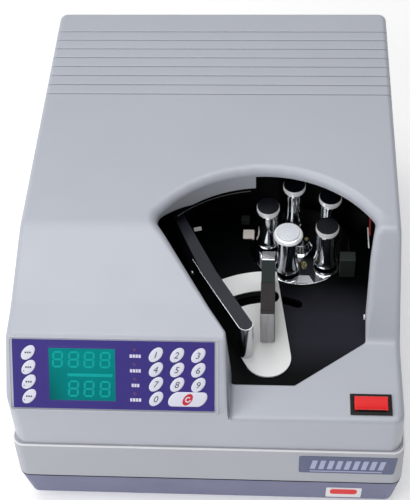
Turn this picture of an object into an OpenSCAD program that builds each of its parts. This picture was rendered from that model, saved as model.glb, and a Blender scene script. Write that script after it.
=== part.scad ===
// Tabletop counter for strapped banknote bundles. A drafted two-part casing stands on a
// blue base pan. A fan-shaped note well in its right half holds a swinging clamp carriage
// and a turret of five turning suction spindles. A sloped console carries the keys.
// Everything is drawn in a working frame: x across, y back from the front seam, z up from
// the underside of the base pan. placed() moves it so that the feet rest on z = 0 and the
// middle of the casing is the origin.

/* [Casing] */
// Width of the upper cover between its top edges
body_w = 330; // [328:1:336]
// Depth from the front seam to the top of the rear wall
body_d = 428; // [426:1:436]
// Height of the casing above the underside of the base pan
body_h = 226; // [225:1:230]
// Outward slope of the walls, per millimetre of height
draft = 0.03; // [0.02:0.005:0.03]
// Wall thickness of the mouldings
wall = 3; // [2.8:0.1:3.2]
// Height of the seam between the cover and the lower casing
seam_z = 98; // [97:1:99]
// Height of the blue base pan
base_h = 46; // [45:1:47]
// Height of the rubber feet
foot_h = 8; // [7:1:10]

/* [Console] */
// Height of the lower edge of the sloped console
console_low_z = 152.3; // [152:0.1:153]
// Distance from the front seam to the upper edge of the console
console_top_y = 42.5; // [42:0.5:43]
// Height of the upper edge of the console
console_top_z = 202.6; // [202:0.1:203]
// Side-to-side pitch of the number keys
key_pitch_x = 17.6; // [17.2:0.1:17.8]
// Pitch of the key rows up the slope
key_pitch_y = 12.7; // [12.6:0.1:12.9]
// Travel of a key
key_travel = 0.5; // [0.3:0.1:0.5]

/* [Note well] */
// Height of the level front deck
deck_z = 143; // [142:1:144]
// Radius of the rolled rear rim of the well
rim_r = 119.4; // [119:0.1:120]
// Radius of the tall black liner behind the rim
liner_r = 143; // [142:0.5:144]
// Depth of the note well's floor below the front deck
floor_drop = 3.5; // [3.3:0.1:3.7]

/* [Clamp carriage] */
// Radius of the round nose of the swing plate
nose_r = 19.9; // [19.5:0.1:20.2]
// Outer radius of the swing plate about its pivot
plate_r = 95.5; // [94:0.5:95.5]
// Height of the clamp jaws above the swing plate
jaw_h = 42; // [40:0.5:43]
// Length of the rest jaw
rest_jaw_l = 159; // [150:1:160]
// Length of the clamp finger
finger_l = 69.5; // [66:0.5:69.5]

/* [Turret] */
// Radius of the circle on which the spindles stand
spindle_ring_r = 30.5; // [30.3:0.1:30.5]
// Height of a spindle's cap above the well's floor
spindle_h = 50.5; // [48:0.5:51]
// Radius of a spindle's cap
cap_r = 11.2; // [10:0.2:11.4]
// Teeth on the fixed sun gear
sun_teeth = 32; // [32]
// Teeth on each spindle pinion
pinion_teeth = 16; // [16]

/* [Hidden] */
FIXED = ["upper_cover", "lower_casing", "base_pan", "rubber_feet", "case_screws",
    "well_liner", "deck_plate", "console_overlay", "display_window", "display_module",
    "status_lamps", "panel_board", "switch_bezel", "name_plate", "support_frame",
    "drive_motor", "drive_belt", "vacuum_pump", "vacuum_hose", "sun_gear",
    "turret_bearing", "power_supply", "power_inlet", "control_board", "sensor_block",
    "pivot_pin"];
MOVING = ["power_rocker", "motor_pulley", "turret_table", "swing_plate", "rest_jaw",
    "jaw_wrap", "clamp_arm", "clamp_finger", "finger_tip"];
NUMBER_KEYS = ["key_1", "key_2", "key_3", "key_4", "key_5", "key_6", "key_7", "key_8",
    "key_9"];
FUNCTION_KEYS = ["key_f1", "key_f2", "key_f3", "key_f4"];
SPINDLES = ["spindle_1", "spindle_2", "spindle_3", "spindle_4", "spindle_5"];
CAPS = ["spindle_cap_1", "spindle_cap_2", "spindle_cap_3", "spindle_cap_4",
    "spindle_cap_5"];

$fn = 64;
tiny = 0.01;
far = 500;

// casing
ledge = 2.3;
base_inset = 4.4;
casing_wall = 4;
plate_recess = 0.9;
corner_r = 7;
draft_angle = atan(draft);
function side_x(z) = body_w / 2 + draft * (body_h - z);
function front_y(z) = draft * (z - seam_z);
function back_y(z) = body_d + draft * (body_h - z);
mid_y = back_y(seam_z) / 2;
foot_x = 135;
foot_front_y = 42;
foot_back_y = 388;

// side outlines of the cover: the left one climbs the console, the right one the deck
split_x = 19;
crest_y = 142.4;
ramp_y = 73.9;
ramp_z = 206.4;
deck_back_y = 83.9;
overshoot = 20;
console_foot_y = front_y(console_low_z);
console_rise = console_top_z - console_low_z;
console_run = console_top_y - console_foot_y;
console_angle = atan(console_rise / console_run);
console_l = sqrt(console_rise * console_rise + console_run * console_run);
function console_line(y) = console_low_z + (y - console_foot_y) * tan(console_angle);
left_outline = [[-overshoot, seam_z - 5], [-overshoot, console_line(-overshoot)],
    [console_top_y, console_top_z], [ramp_y, ramp_z], [crest_y, body_h], [far, body_h],
    [far, seam_z - 5]];
right_outline = [[-overshoot, seam_z - 5], [-overshoot, deck_z], [deck_back_y, deck_z],
    [crest_y, body_h], [far, body_h], [far, seam_z - 5]];

// note well
floor_z = deck_z - floor_drop;
floor_t = 2.5;
rim = [47.9, 98.5];
rim_roll = 8;
rim_in_r = rim_r - rim_roll;
skirt_deep = 24;
skirt_shallow = 11;
skirt_step_x = 39;
well_front = 36.5;
diagonal_low = [17.5, 49];
diagonal_high = [-48.2, 154.8];
diagonal_slope = (diagonal_low.x - diagonal_high.x) / (diagonal_low.y - diagonal_high.y);
diagonal_top = [diagonal_high.x + diagonal_slope * (260 - diagonal_high.y), 260];
well_outline = [[split_x, well_front], [75.4, well_front], [137.4, 82.5], [136.8, 102],
    [139.5, 131], [144.5, 157], [160, 260], diagonal_top, diagonal_low, [split_x, 42]];

// turret and its gears
turret = [80.8, 194];
turret_phase = 30.6;
table_r = 46;
table_t = 4;
table_gap = 1;
pocket_r = 52;
shaft_r = 8;
running_gap = 0.05;
spindle_shaft_r = 4;
gear_z = 120;
gear_t = 9;
sun_r = spindle_ring_r * sun_teeth / (sun_teeth + pinion_teeth);
pinion_r = spindle_ring_r - sun_r;
tooth_out = 0.8;
tooth_in = 1.3;
plate_gap = 0.5;
plate_t = 1.5;
collar_z = floor_z + plate_gap + plate_t + 1.2;
function spindle_angle(k) = turret_phase + 72 * (3 - k);
function spindle_x(k) = turret.x + spindle_ring_r * cos(spindle_angle(k));
function spindle_y(k) = turret.y + spindle_ring_r * sin(spindle_angle(k));
function pinion_turn(k) = 180 / pinion_teeth
    + spindle_angle(k) * (1 + sun_teeth / pinion_teeth);

// clamp carriage
pivot = [51.5, 65.5];
pivot_r = 5;
hub_r = 9;
plate_z = floor_z + plate_gap;
plate_top = plate_z + plate_t;
jaw_angle = 118.8;
jaw_half_w = 6.15;
wrap_t = 0.5;
jaw_offset = 13.9;
jaw_start = 6.65;
jaw_bow = [69, 2.6];
jaw_end_y = -3;
jaw_end_half_w = 4.3;
wrap_l = 91;
wrap_gap = 0.06;
finger_half_w = 6;
finger_start = 16;
nose_shift = 0.9;
band_in_r = 59.5;
band_out_r = 73.5;
band_r = (band_in_r + band_out_r) / 2;
carrier_r = 6;
carrier_h = plate_t + 3.3;
band_start = 87.6;
band_end = 117;
post_path_r = 65.6;
post_r = 3;
slot_w = 8.2;
slot_start = 66;
slot_end = 120;
slot_relief = 0.2;
arm_z = 122;
arm_t = 5;

// frame, drive and electrics
frame_z = 84;
frame_t = 3;
motor = [80.8, 300];
motor_r = 32;
motor_h = 62;
turret_pulley_r = 22;
motor_pulley_r = 11;
pulley_z = 66;
pulley_h = 12;
belt_t = 1.8;
hose_z = 98;
hose_y = 257;
hose_turn_r = 15;
hose_r = 5;
hose_bore_r = 3.05;

// console pieces, measured across and up the slope
overlay_t = 0.8;
overlay_left = -160;
overlay_right = 8.6;
overlay_low = 1.5;
overlay_high = 61;
window_left = -129.7;
window_right = -73.5;
window_low = 8.4;
window_high = 54.2;
window_lip = 1.3;
key_row_1 = 49.6;
key_col_1 = -39.8;
function_col = -146.6;
key_half_w = 5.3;
key_half_h = 6.3;
key_lean = 2.7;
key_gap = 0.15;
key_proud = 0.7;
key_depth = 3;
clear_x = -13.5;
clear_half_l = 10.4;
lamp_x = -57.6;
lamp_r = 1.6;
board_depth = 9;
board_t = 1.6;

// rocker switch on the deck
inlet_x = -105;
inlet_z = 23;
switch_x = 139.4;
switch_y = 18;
switch_w = 35;
switch_d = 20;
rocker_w = 28;
rocker_half_d = 6.2;
rocker_pivot_z = deck_z;
rocker_tilt = 8;

// ---------------------------------------------------------------- shared helpers

module placed() {
    translate([0, -mid_y, foot_h]) children();
}

// a solid whose outline lies in the y-z plane
module across(x0, x1) {
    translate([x0, 0, 0]) rotate([90, 0, 90]) linear_extrude(x1 - x0) children();
}

// a box with drafted walls and round upright corners, grown outwards by grow
module drafted_block(z0, z1, grow, r) {
    hull() {
        for (z = [z0, z1 - tiny], sx = [-1, 1])
            for (y = [front_y(z) - grow + r, back_y(z) + grow - r])
                translate([sx * (side_x(z) + grow - r), y, z])
                    cylinder(r = r, h = tiny, $fn = 32);
    }
}

// working frame on the console face: x across, y up the slope, z out of it
module on_console() {
    translate([0, console_foot_y, console_low_z]) rotate([console_angle, 0, 0])
        children();
}

// working frame on the front of the lower casing: x across, y up, z out
module on_front() {
    translate([0, -ledge, seam_z]) rotate([90 - draft_angle, 0, 0]) children();
}

// working frame on the rear wall of the cover: x across, y up, z into the machine
module on_back() {
    translate([0, back_y(seam_z), seam_z]) rotate([90 + draft_angle, 0, 0]) children();
}

// a flat slab between two corners
module slab(x0, x1, y0, y1, z0, z1) {
    translate([x0, y0, z0]) cube([x1 - x0, y1 - y0, z1 - z0]);
}

module tube(r_out, r_in, h) {
    difference() {
        cylinder(r = r_out, h = h);
        translate([0, 0, -1]) cylinder(r = r_in, h = h + 2);
    }
}

// flat outline of a slot that follows an arc about the origin
module arc_slot(path_r, w, a0, a1) {
    intersection() {
        difference() {
            circle(r = path_r + w / 2);
            circle(r = path_r - w / 2);
        }
        polygon([[0, 0], [far * cos(a0), far * sin(a0)],
            [far * cos((a0 + a1) / 2), far * sin((a0 + a1) / 2)],
            [far * cos(a1), far * sin(a1)]]);
    }
    for (a = [a0, a1])
        translate([path_r * cos(a), path_r * sin(a)]) circle(d = w + slot_relief);
}

// flat outline of a gear with straight-flanked teeth and generous backlash
module gear_outline(teeth, pitch_r) {
    step = 360 / teeth;
    polygon([for (i = [0 : teeth - 1], c = [[-0.24, 0], [-0.1, 1], [0.1, 1], [0.24, 0]])
        let (r = c[1] == 1 ? pitch_r + tooth_out : pitch_r - tooth_in)
            [r * cos((i + c[0]) * step), r * sin((i + c[0]) * step)]]);
}

// ---------------------------------------------------------------- casing

module cover_solid() {
    intersection() {
        union() {
            across(-far, split_x) polygon(left_outline);
            across(split_x, far) polygon(right_outline);
        }
        drafted_block(seam_z, body_h + 10, 0, corner_r);
    }
}

module cover_room(gap = 0) {
    intersection() {
        union() {
            across(-far, split_x - wall - gap) offset(delta = -wall - gap)
                polygon(left_outline);
            across(-far, far) offset(delta = -wall - gap) polygon(right_outline);
        }
        drafted_block(seam_z - 3, body_h + 10, -wall - gap, corner_r - wall);
    }
}

// the well's mouth: a fan that is cut off by straight edges in front
module well_mouth() {
    intersection() {
        translate(rim) circle(r = rim_in_r);
        polygon(well_outline);
    }
}

module well_cut() {
    translate([0, 0, seam_z]) linear_extrude(far) well_mouth();
    intersection() {
        translate([rim.x, rim.y, body_h - rim_roll])
            cylinder(r1 = rim_in_r, r2 = rim_r + rim_roll, h = 2 * rim_roll);
        translate([0, 0, seam_z]) linear_extrude(far) polygon(well_outline);
    }
}

// the turned-down lip round the mouth, following the cover's surface
module well_skirt(depth, x0, x1, y0) {
    intersection() {
        difference() {
            cover_solid();
            translate([0, 0, -depth]) cover_solid();
        }
        translate([0, 0, seam_z]) linear_extrude(far) difference() {
            offset(delta = wall) well_mouth();
            well_mouth();
        }
        slab(x0, x1, y0, far, floor_z + plate_gap, far);
    }
}

module grip_ribs() {
    for (i = [0 : 7])
        translate([0, 308 + i * 12.93, body_h]) rotate([45, 0, 0])
            cube([far, 1.8, 1.8], center = true);
}

module rear_vents() {
    on_back() for (side = [-1, 1], i = [0 : 8])
        translate([side * 78 + (i - 4) * 8, 72, 0])
            cube([3, 34, 4 * wall], center = true);
}

module console_cuts() {
    on_console() {
        slab(window_left + window_lip, window_right - window_lip,
            window_low + window_lip, window_high - window_lip, -wall - 1, 1);
        slab(key_col_1 - 8, 5, 4, 57.5, -wall - 1, 1);
        slab(function_col - 7.5, function_col + 7.5, 4, 57.5, -wall - 1, 1);
        for (i = [0 : 3]) translate([lamp_x, key_row_1 + 4 - i * key_pitch_y, -wall - 1])
            cylinder(r = lamp_r + 0.1, h = wall + 2);
    }
}

module cover_screw_spots() {
    for (sx = [-1, 1], x = [60, 148]) translate([sx * x, 14, 0]) children();
}

module upper_cover() {
    color("#b9bac4") placed() {
        difference() {
            cover_solid();
            cover_room();
            well_cut();
            grip_ribs();
            rear_vents();
            console_cuts();
            translate([switch_x, switch_y, deck_z]) cube([30.4, 15.4, 12], center = true);
            on_back() cover_screw_spots() cylinder(r = 2.2, h = 20, center = true);
        }
        well_skirt(skirt_deep, -100, skirt_step_x, 60);
        well_skirt(skirt_shallow, skirt_step_x, 200, 88);
    }
}

// outline of the blank name plate on the front of the lower casing
module name_plate_outline(grow) {
    offset(delta = grow) polygon([[80, -37], [84, -5], [164.5, -5], [167, -21], [162, -37]]);
}

module lower_casing() {
    color("#a9abb6") placed() difference() {
        drafted_block(base_h, seam_z, ledge, corner_r + ledge);
        drafted_block(base_h + wall, seam_z + 1, ledge - casing_wall, corner_r);
        slab(-150, 150, 15, 415, base_h - 1, base_h + wall + 1);
        on_front() translate([0, 0, -plate_recess]) linear_extrude(5)
            name_plate_outline(0.1);
    }
}

module base_pan() {
    color("#7d80a0") placed() difference() {
        drafted_block(0, base_h, ledge - base_inset, corner_r);
        drafted_block(wall, base_h + 1, ledge - base_inset - wall, corner_r - wall);
        translate([inlet_x, back_y(inlet_z), inlet_z])
            cube([27.6, 30, 20.4], center = true);
    }
}

module rubber_feet() {
    color("#222222") placed() for (sx = [-1, 1], y = [foot_front_y, foot_back_y])
        translate([sx * foot_x, y, -foot_h]) cylinder(r1 = 11, r2 = 13, h = foot_h);
}

module case_screws() {
    color("silver") placed() on_back() cover_screw_spots() {
        translate([0, 0, -1.8]) cylinder(r = 3.6, h = 1.8);
        cylinder(r = 2, h = 9);
    }
}

module name_plate() {
    color("#55627d") placed() on_front() translate([0, 0, tiny - plate_recess])
        linear_extrude(1.2) name_plate_outline(0);
}

// ---------------------------------------------------------------- note well

module liner_outline(grow) {
    offset(delta = grow) {
        intersection() {
            translate(rim) circle(r = liner_r);
            offset(delta = 6) polygon(well_outline);
        }
        translate(turret) circle(r = pocket_r);
    }
}

module well_liner() {
    color("#26272c") placed() intersection() {
        cover_room(0.5);
        translate([0, 0, floor_z]) linear_extrude(far) difference() {
            liner_outline(2);
            liner_outline(0);
        }
        slab(-far, far, 40, far, floor_z, far);
    }
}

module deck_outline() {
    intersection() {
        liner_outline(8);
        polygon([[-200, 31], [200, 31], [200, 300], [-200, 300]]);
    }
}

module deck_plate() {
    color("#2b2c33") placed() translate([0, 0, floor_z - floor_t]) difference() {
        linear_extrude(floor_t) deck_outline();
        translate([pivot.x, pivot.y, -1]) linear_extrude(9)
            arc_slot(post_path_r, slot_w, slot_start, slot_end);
        translate([turret.x, turret.y, -1]) cylinder(r = table_r + table_gap, h = 9);
        translate([pivot.x, pivot.y, -1]) cylinder(r = hub_r + 1, h = 9);
    }
}

module sensor_block() {
    color("#4c5450") placed() slab(116, 130, 157, 168, floor_z, floor_z + 24);
}

// ---------------------------------------------------------------- clamp carriage

module pivot_pin() {
    color("silver") placed() translate([pivot.x, pivot.y, frame_z + frame_t]) {
        cylinder(r = pivot_r, h = plate_z - frame_z - frame_t - 1);
        cylinder(r = 12, h = 5);
    }
}

module plate_outline() {
    right = atan2(92.2, -13.3);
    edge_r = nose_r + nose_shift;
    hull() {
        circle(r = nose_r);
        translate([nose_shift, 0]) circle(r = nose_r);
    }
    intersection() {
        circle(r = plate_r);
        polygon([[edge_r * cos(right - 90), edge_r * sin(right - 90)],
            [edge_r * cos(right - 90) + 130 * cos(right),
                edge_r * sin(right - 90) + 130 * sin(right)],
            [nose_r * cos(jaw_angle + 90) + 130 * cos(jaw_angle),
                nose_r * sin(jaw_angle + 90) + 130 * sin(jaw_angle)],
            [nose_r * cos(jaw_angle + 90), nose_r * sin(jaw_angle + 90)]]);
    }
}

module swing_plate() {
    color("#dfe2e2") placed() translate([pivot.x, pivot.y, 0]) difference() {
        union() {
            translate([0, 0, plate_z]) linear_extrude(plate_t) difference() {
                plate_outline();
                arc_slot(band_r, band_out_r - band_in_r, band_start, band_end);
            }
            translate([0, 0, arm_z - 10]) cylinder(r = hub_r, h = plate_z - arm_z + 10);
        }
        translate([0, 0, arm_z - 11])
            cylinder(r = pivot_r + running_gap, h = plate_z - arm_z + 10.4);
    }
}

// flat outline of the rest jaw, along x from its round near end, slightly bowed
module jaw_outline() {
    translate([jaw_half_w, 0]) circle(r = jaw_half_w);
    polygon([[jaw_half_w, -jaw_half_w], [jaw_bow.x, jaw_bow.y - jaw_half_w],
        [rest_jaw_l, jaw_end_y - jaw_end_half_w], [rest_jaw_l, jaw_end_y + jaw_end_half_w],
        [jaw_bow.x, jaw_bow.y + jaw_half_w], [jaw_half_w, jaw_half_w]]);
}

module on_rest_jaw() {
    translate([pivot.x, pivot.y, plate_top]) rotate([0, 0, jaw_angle])
        translate([jaw_start, jaw_offset, 0]) children();
}

module rest_jaw() {
    color("#373840") placed() on_rest_jaw() translate([wrap_t + tiny, 0, 0])
        linear_extrude(jaw_h) jaw_outline();
}

// polished sheet that wraps the near end and runs straight on past the jaw's bow
module jaw_wrap() {
    inner = jaw_half_w + wrap_gap;
    outer = inner + wrap_t;
    bow_x = jaw_bow.x - jaw_half_w;
    lap = 0.2;
    color("#d8dadc") placed() on_rest_jaw() translate([outer, 0, 0])
        linear_extrude(jaw_h + 0.4) {
            difference() {
                circle(r = outer);
                circle(r = inner);
                translate([lap, 0]) square([outer, outer + 1]);
                translate([0, -outer - 1]) square([outer + 1, outer + 1 + tiny]);
            }
            polygon([[lap / 2, inner + tiny], [bow_x, jaw_bow.y + inner],
                [wrap_l - outer, jaw_bow.y + inner], [wrap_l - outer, jaw_bow.y + outer],
                [bow_x, jaw_bow.y + outer], [lap / 2, outer]]);
        }
}

module on_finger() {
    translate([pivot.x, pivot.y, 0]) rotate([0, 0, 90]) children();
}

module clamp_arm() {
    color("#8d9096") placed() on_finger() difference() {
        union() {
            translate([0, 0, arm_z]) cylinder(r = 14, h = arm_t);
            slab(0, post_path_r, -6, 6, arm_z, arm_z + arm_t);
            translate([post_path_r, 0, arm_z]) cylinder(r = 6, h = arm_t);
            translate([post_path_r, 0, arm_z]) cylinder(r = post_r, h = plate_top - arm_z);
        }
        translate([0, 0, arm_z - 1]) cylinder(r = hub_r + running_gap, h = arm_t + 2);
    }
}

module clamp_finger() {
    tip_l = 10.3;
    color("#2e3331") placed() on_finger() difference() {
        union() {
            slab(finger_start, finger_start + finger_l - tip_l, -finger_half_w,
                finger_half_w, plate_top + 0.3, plate_top + jaw_h);
            translate([band_r, 0, plate_z + 0.3]) cylinder(r = carrier_r, h = carrier_h - 0.3);
        }
        translate([post_path_r, 0, 0]) cylinder(r = post_r + tiny, h = plate_top + tiny);
    }
}

module finger_tip() {
    tip_l = 10.3;
    color("#c9cccc") placed() on_finger() slab(finger_start + finger_l - tip_l + tiny,
        finger_start + finger_l, -finger_half_w, finger_half_w, plate_top + 0.3,
        plate_top + jaw_h);
}

// ---------------------------------------------------------------- turret

module turret_table() {
    table_z = floor_z - table_t;
    shaft_bottom = pulley_z - 6;
    color("#c4c6c9") placed() translate([turret.x, turret.y, 0]) difference() {
        union() {
            translate([0, 0, table_z]) cylinder(r = table_r, h = table_t);
            translate([0, 0, shaft_bottom])
                cylinder(r = shaft_r, h = table_z - shaft_bottom + 1);
            translate([0, 0, pulley_z]) cylinder(r = turret_pulley_r, h = pulley_h);
            translate([0, 0, floor_z - 1]) cylinder(r1 = 11, r2 = 8, h = 9);
        }
        translate([0, 0, shaft_bottom - 1]) cylinder(r = 3, h = 60);
        for (k = [1 : 5])
            translate([spindle_x(k) - turret.x, spindle_y(k) - turret.y, table_z - 1])
                cylinder(r = spindle_shaft_r + running_gap, h = table_t + 2);
    }
}

module spindle(k) {
    neck_r = 9;
    neck_z = collar_z + 14;
    cap_z = floor_z + spindle_h - 8;
    color("#d4d6d9") placed() translate([spindle_x(k), spindle_y(k), 0]) {
        translate([0, 0, gear_z - 2])
            cylinder(r = spindle_shaft_r, h = collar_z - gear_z + 2 + tiny);
        translate([0, 0, gear_z]) rotate([0, 0, pinion_turn(k)]) linear_extrude(gear_t)
            gear_outline(pinion_teeth, pinion_r);
        translate([0, 0, collar_z]) rotate_extrude()
            polygon([[0, 0], [10.6, 0], [11, 0.6], [11, 3.5], [9.8, 5], [9.8, 12],
                [neck_r, neck_z - collar_z], [neck_r, cap_z - collar_z], [0, cap_z - collar_z]]);
    }
}

module spindle_cap(k) {
    bevel = 1.8;
    cap_z = floor_z + spindle_h - 8;
    color("#3a3b40") placed() translate([spindle_x(k), spindle_y(k), cap_z + tiny])
        rotate_extrude() polygon([[0, 0], [cap_r - 1, 0], [cap_r, 1], [cap_r, 8 - bevel],
            [cap_r - bevel, 8], [0, 8]]);
}

module turret_bearing() {
    color("#8f9297") placed() translate([turret.x, turret.y, frame_z + frame_t])
        difference() {
            union() {
                cylinder(r = 13, h = gear_z - frame_z - frame_t - 3);
                cylinder(r = 24, h = 5);
                translate([0, 11, hose_z - frame_z - frame_t]) rotate([-90, 0, 0])
                    cylinder(r = 3, h = 13);
            }
            translate([0, 0, -1])
                cylinder(r = shaft_r + running_gap, h = gear_z - frame_z);
        }
}

module sun_gear() {
    color("#b98f4a") placed() translate([turret.x, turret.y, gear_z - 3]) difference() {
        union() {
            cylinder(r = 13, h = 3);
            translate([0, 0, 3]) linear_extrude(gear_t) gear_outline(sun_teeth, sun_r);
        }
        translate([0, 0, -1]) cylinder(r = shaft_r + running_gap, h = gear_t + 5);
    }
}

// ---------------------------------------------------------------- drive and frame

module support_frame() {
    deck_post_h = floor_z - floor_t - frame_z;
    color("#8a8d92") placed() difference() {
        union() {
            slab(-20, 150, 45, 405, frame_z, frame_z + frame_t);
            slab(-140, -19, 245, 405, frame_z, frame_z + frame_t);
            for (p = [[-128, 393], [140, 393], [140, 57], [-8, 57], [-128, 257]])
                translate([p.x, p.y, wall]) cylinder(r = 6, h = frame_z - wall + 1);
            for (p = [[143, 95], [138, 205], [-12, 118], [8, 226]])
                translate([p.x, p.y, frame_z]) cylinder(r = 5, h = deck_post_h);
        }
        translate([turret.x, turret.y, frame_z - 1]) cylinder(r = shaft_r + 1, h = 9);
        translate([motor.x, motor.y, frame_z - 1]) cylinder(r = 12, h = 9);
    }
}

module drive_motor() {
    color("#45484d") placed() translate([motor.x, motor.y, frame_z + frame_t])
        difference() {
            union() {
                slab(-35, 35, -35, 35, 0, 5);
                cylinder(r = motor_r, h = motor_h);
                translate([0, 0, motor_h - 1]) cylinder(r = 12, h = 7);
            }
            translate([0, 0, -1]) cylinder(r = 4 + running_gap, h = 41);
        }
}

module motor_pulley() {
    color("#b9bcc0") placed() translate([motor.x, motor.y, pulley_z]) {
        cylinder(r = motor_pulley_r, h = pulley_h);
        translate([0, 0, -2]) cylinder(r = 4, h = 58);
    }
}

module belt_loop(grow) {
    hull() {
        translate(turret) circle(r = turret_pulley_r + grow, $fn = 48);
        translate(motor) circle(r = motor_pulley_r + grow, $fn = 48);
    }
}

module drive_belt() {
    color("#222222") placed() translate([0, 0, pulley_z + 2])
        linear_extrude(pulley_h - 4) difference() {
            belt_loop(belt_t);
            belt_loop(0.2);
        }
}

module vacuum_pump() {
    color("#5a6068") placed() {
        slab(-125, -45, 285, 390, frame_z + frame_t, 150);
        translate([-85, 337, 149.9]) cylinder(r = 30, h = 24);
        slab(-80, -50, 247, 285.1, frame_z + frame_t, 112);
        translate([-50.1, hose_y, hose_z]) rotate([0, 90, 0]) cylinder(r = 3, h = 13);
    }
}

// hose from the pump, along the frame and round one bend to the turret bearing
module vacuum_hose() {
    hose_x0 = -48;
    bend_x = turret.x - hose_turn_r;
    bend_y = hose_y - hose_turn_r;
    port_y = turret.y + 15;
    color("#33363a") placed() translate([0, 0, hose_z]) {
        translate([hose_x0, hose_y, 0]) rotate([0, 90, 0])
            tube(hose_r, hose_bore_r, bend_x - hose_x0);
        translate([bend_x, bend_y, 0]) rotate_extrude(angle = 90)
            translate([hose_turn_r, 0]) difference() {
                circle(r = hose_r);
                circle(r = hose_bore_r);
            }
        translate([turret.x, port_y, 0]) rotate([-90, 0, 0])
            tube(hose_r, hose_bore_r, bend_y - port_y);
    }
}

module power_supply() {
    color("#9a9da3") placed() {
        slab(-148, -60, 25, 130, wall, 52);
        for (x = [-135, -75]) translate([x, 78, 51.9]) cylinder(r = 6, h = 12);
    }
}

module control_board() {
    color("#2f6b45") placed() {
        slab(-150, -40, 150, 250, 30, 31.6);
        for (x = [-145, -45], y = [155, 245]) translate([x, y, wall])
            cylinder(r = 3, h = 27.1);
        slab(-120, -85, 175, 210, 31.5, 36);
        for (x = [-75, -58]) translate([x, 225, 31.5]) cylinder(r = 6, h = 16);
    }
}

module power_inlet() {
    inlet_y = back_y(inlet_z) + ledge - base_inset + 1.7;
    color("#1d1d1f") placed() translate([inlet_x, 0, inlet_z]) {
        difference() {
            union() {
                translate([0, inlet_y - 15, 0]) cube([27, 32, 19.8], center = true);
                translate([0, inlet_y - 0.1, 0]) cube([46, 2.2, 26], center = true);
            }
            translate([0, inlet_y, 0]) cube([23, 30, 15.4], center = true);
        }
        for (p = [[-7, -1.5], [0, 2.5], [7, -1.5]])
            translate([p.x, inlet_y - 11, p.y]) cube([2, 9, 4], center = true);
    }
}

// ---------------------------------------------------------------- console

// leaning oval outline of a key, stretched along x by half_l each way
module key_outline(half_l, grow) {
    steps = 32;
    polygon([for (i = [0 : steps - 1]) let (a = 360 / steps * (i + 0.5))
        [(cos(a) > 0 ? half_l : -half_l) + (key_half_w + grow) * cos(a) + key_lean * sin(a),
            (key_half_h + grow) * sin(a)]]);
}

function key_x(i) = key_col_1 + (i % 3) * key_pitch_x;
function key_y(i) = key_row_1 - floor(i / 3) * key_pitch_y;

module each_key_outline(grow) {
    for (i = [0 : 9]) translate([key_x(i), key_y(i)]) key_outline(0, grow);
    translate([clear_x, key_y(9)]) key_outline(clear_half_l, grow);
    for (i = [0 : 3]) translate([function_col, key_row_1 - i * key_pitch_y])
        key_outline(0, grow);
}

module console_overlay() {
    color("#3c3280") placed() on_console() translate([0, 0, tiny])
        linear_extrude(overlay_t) difference() {
            translate([overlay_left, overlay_low])
                square([overlay_right - overlay_left, overlay_high - overlay_low]);
            translate([window_left - 0.1, window_low - 0.1])
                square([window_right - window_left + 0.2, window_high - window_low + 0.2]);
            each_key_outline(key_gap);
            for (i = [0 : 3]) translate([lamp_x, key_row_1 + 4 - i * key_pitch_y])
                circle(r = lamp_r + 0.1);
        }
}

module display_window() {
    color("#0f8c8c") placed() on_console() slab(window_left, window_right, window_low,
        window_high, tiny, overlay_t);
}

module display_module() {
    color("#14302f") placed() on_console() slab(window_left + window_lip + 0.5,
        window_right - window_lip - 0.5, window_low + window_lip + 0.5,
        window_high - window_lip - 0.5, -board_depth, -0.6);
}

module status_lamps() {
    color("#8c3030") placed() on_console() for (i = [0 : 3])
        translate([lamp_x, key_row_1 + 4 - i * key_pitch_y, -board_depth])
            cylinder(r = lamp_r, h = board_depth + overlay_t + 0.2);
}

module panel_board() {
    color("#2f6b45") placed() on_console() {
        slab(-156, 7, 3, 58, -board_depth - board_t, -board_depth - tiny);
        for (i = [0 : 9]) translate([key_x(i), key_y(i), -board_depth - 0.1])
            cylinder(r = 3, h = board_depth - key_depth - key_travel);
        translate([clear_x, key_y(9), -board_depth - 0.1])
            cylinder(r = 3, h = board_depth - key_depth - key_travel);
        for (i = [0 : 3])
            translate([function_col, key_row_1 - i * key_pitch_y, -board_depth - 0.1])
                cylinder(r = 3, h = board_depth - key_depth - key_travel);
    }
}

module key_cap(x, y, half_l) {
    color("#e4e6f2") placed() on_console() translate([x, y, -key_depth])
        linear_extrude(key_depth + overlay_t + key_proud) key_outline(half_l, 0);
}

// ---------------------------------------------------------------- power switch

module switch_bezel() {
    color("#1b1b1d") placed() translate([switch_x, switch_y, deck_z]) difference() {
        union() {
            translate([0, 0, 1.1]) cube([switch_w, switch_d, 2.1], center = true);
            translate([0, 0, -9]) cube([30, 15, 20], center = true);
        }
        translate([0, 0, -1.5]) cube([rocker_w + 0.6, 13.6, 14], center = true);
    }
}

module power_rocker() {
    color("#e8262a") placed() translate([switch_x, switch_y, rocker_pivot_z])
        rotate([rocker_tilt, 0, 0]) across(-rocker_w / 2, rocker_w / 2)
            polygon([[-rocker_half_d + 0.8, -5], [rocker_half_d - 0.8, -5],
                [rocker_half_d, 5], [0, 3.6], [-rocker_half_d, 5]]);
}

// ---------------------------------------------------------------- nodes

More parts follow.
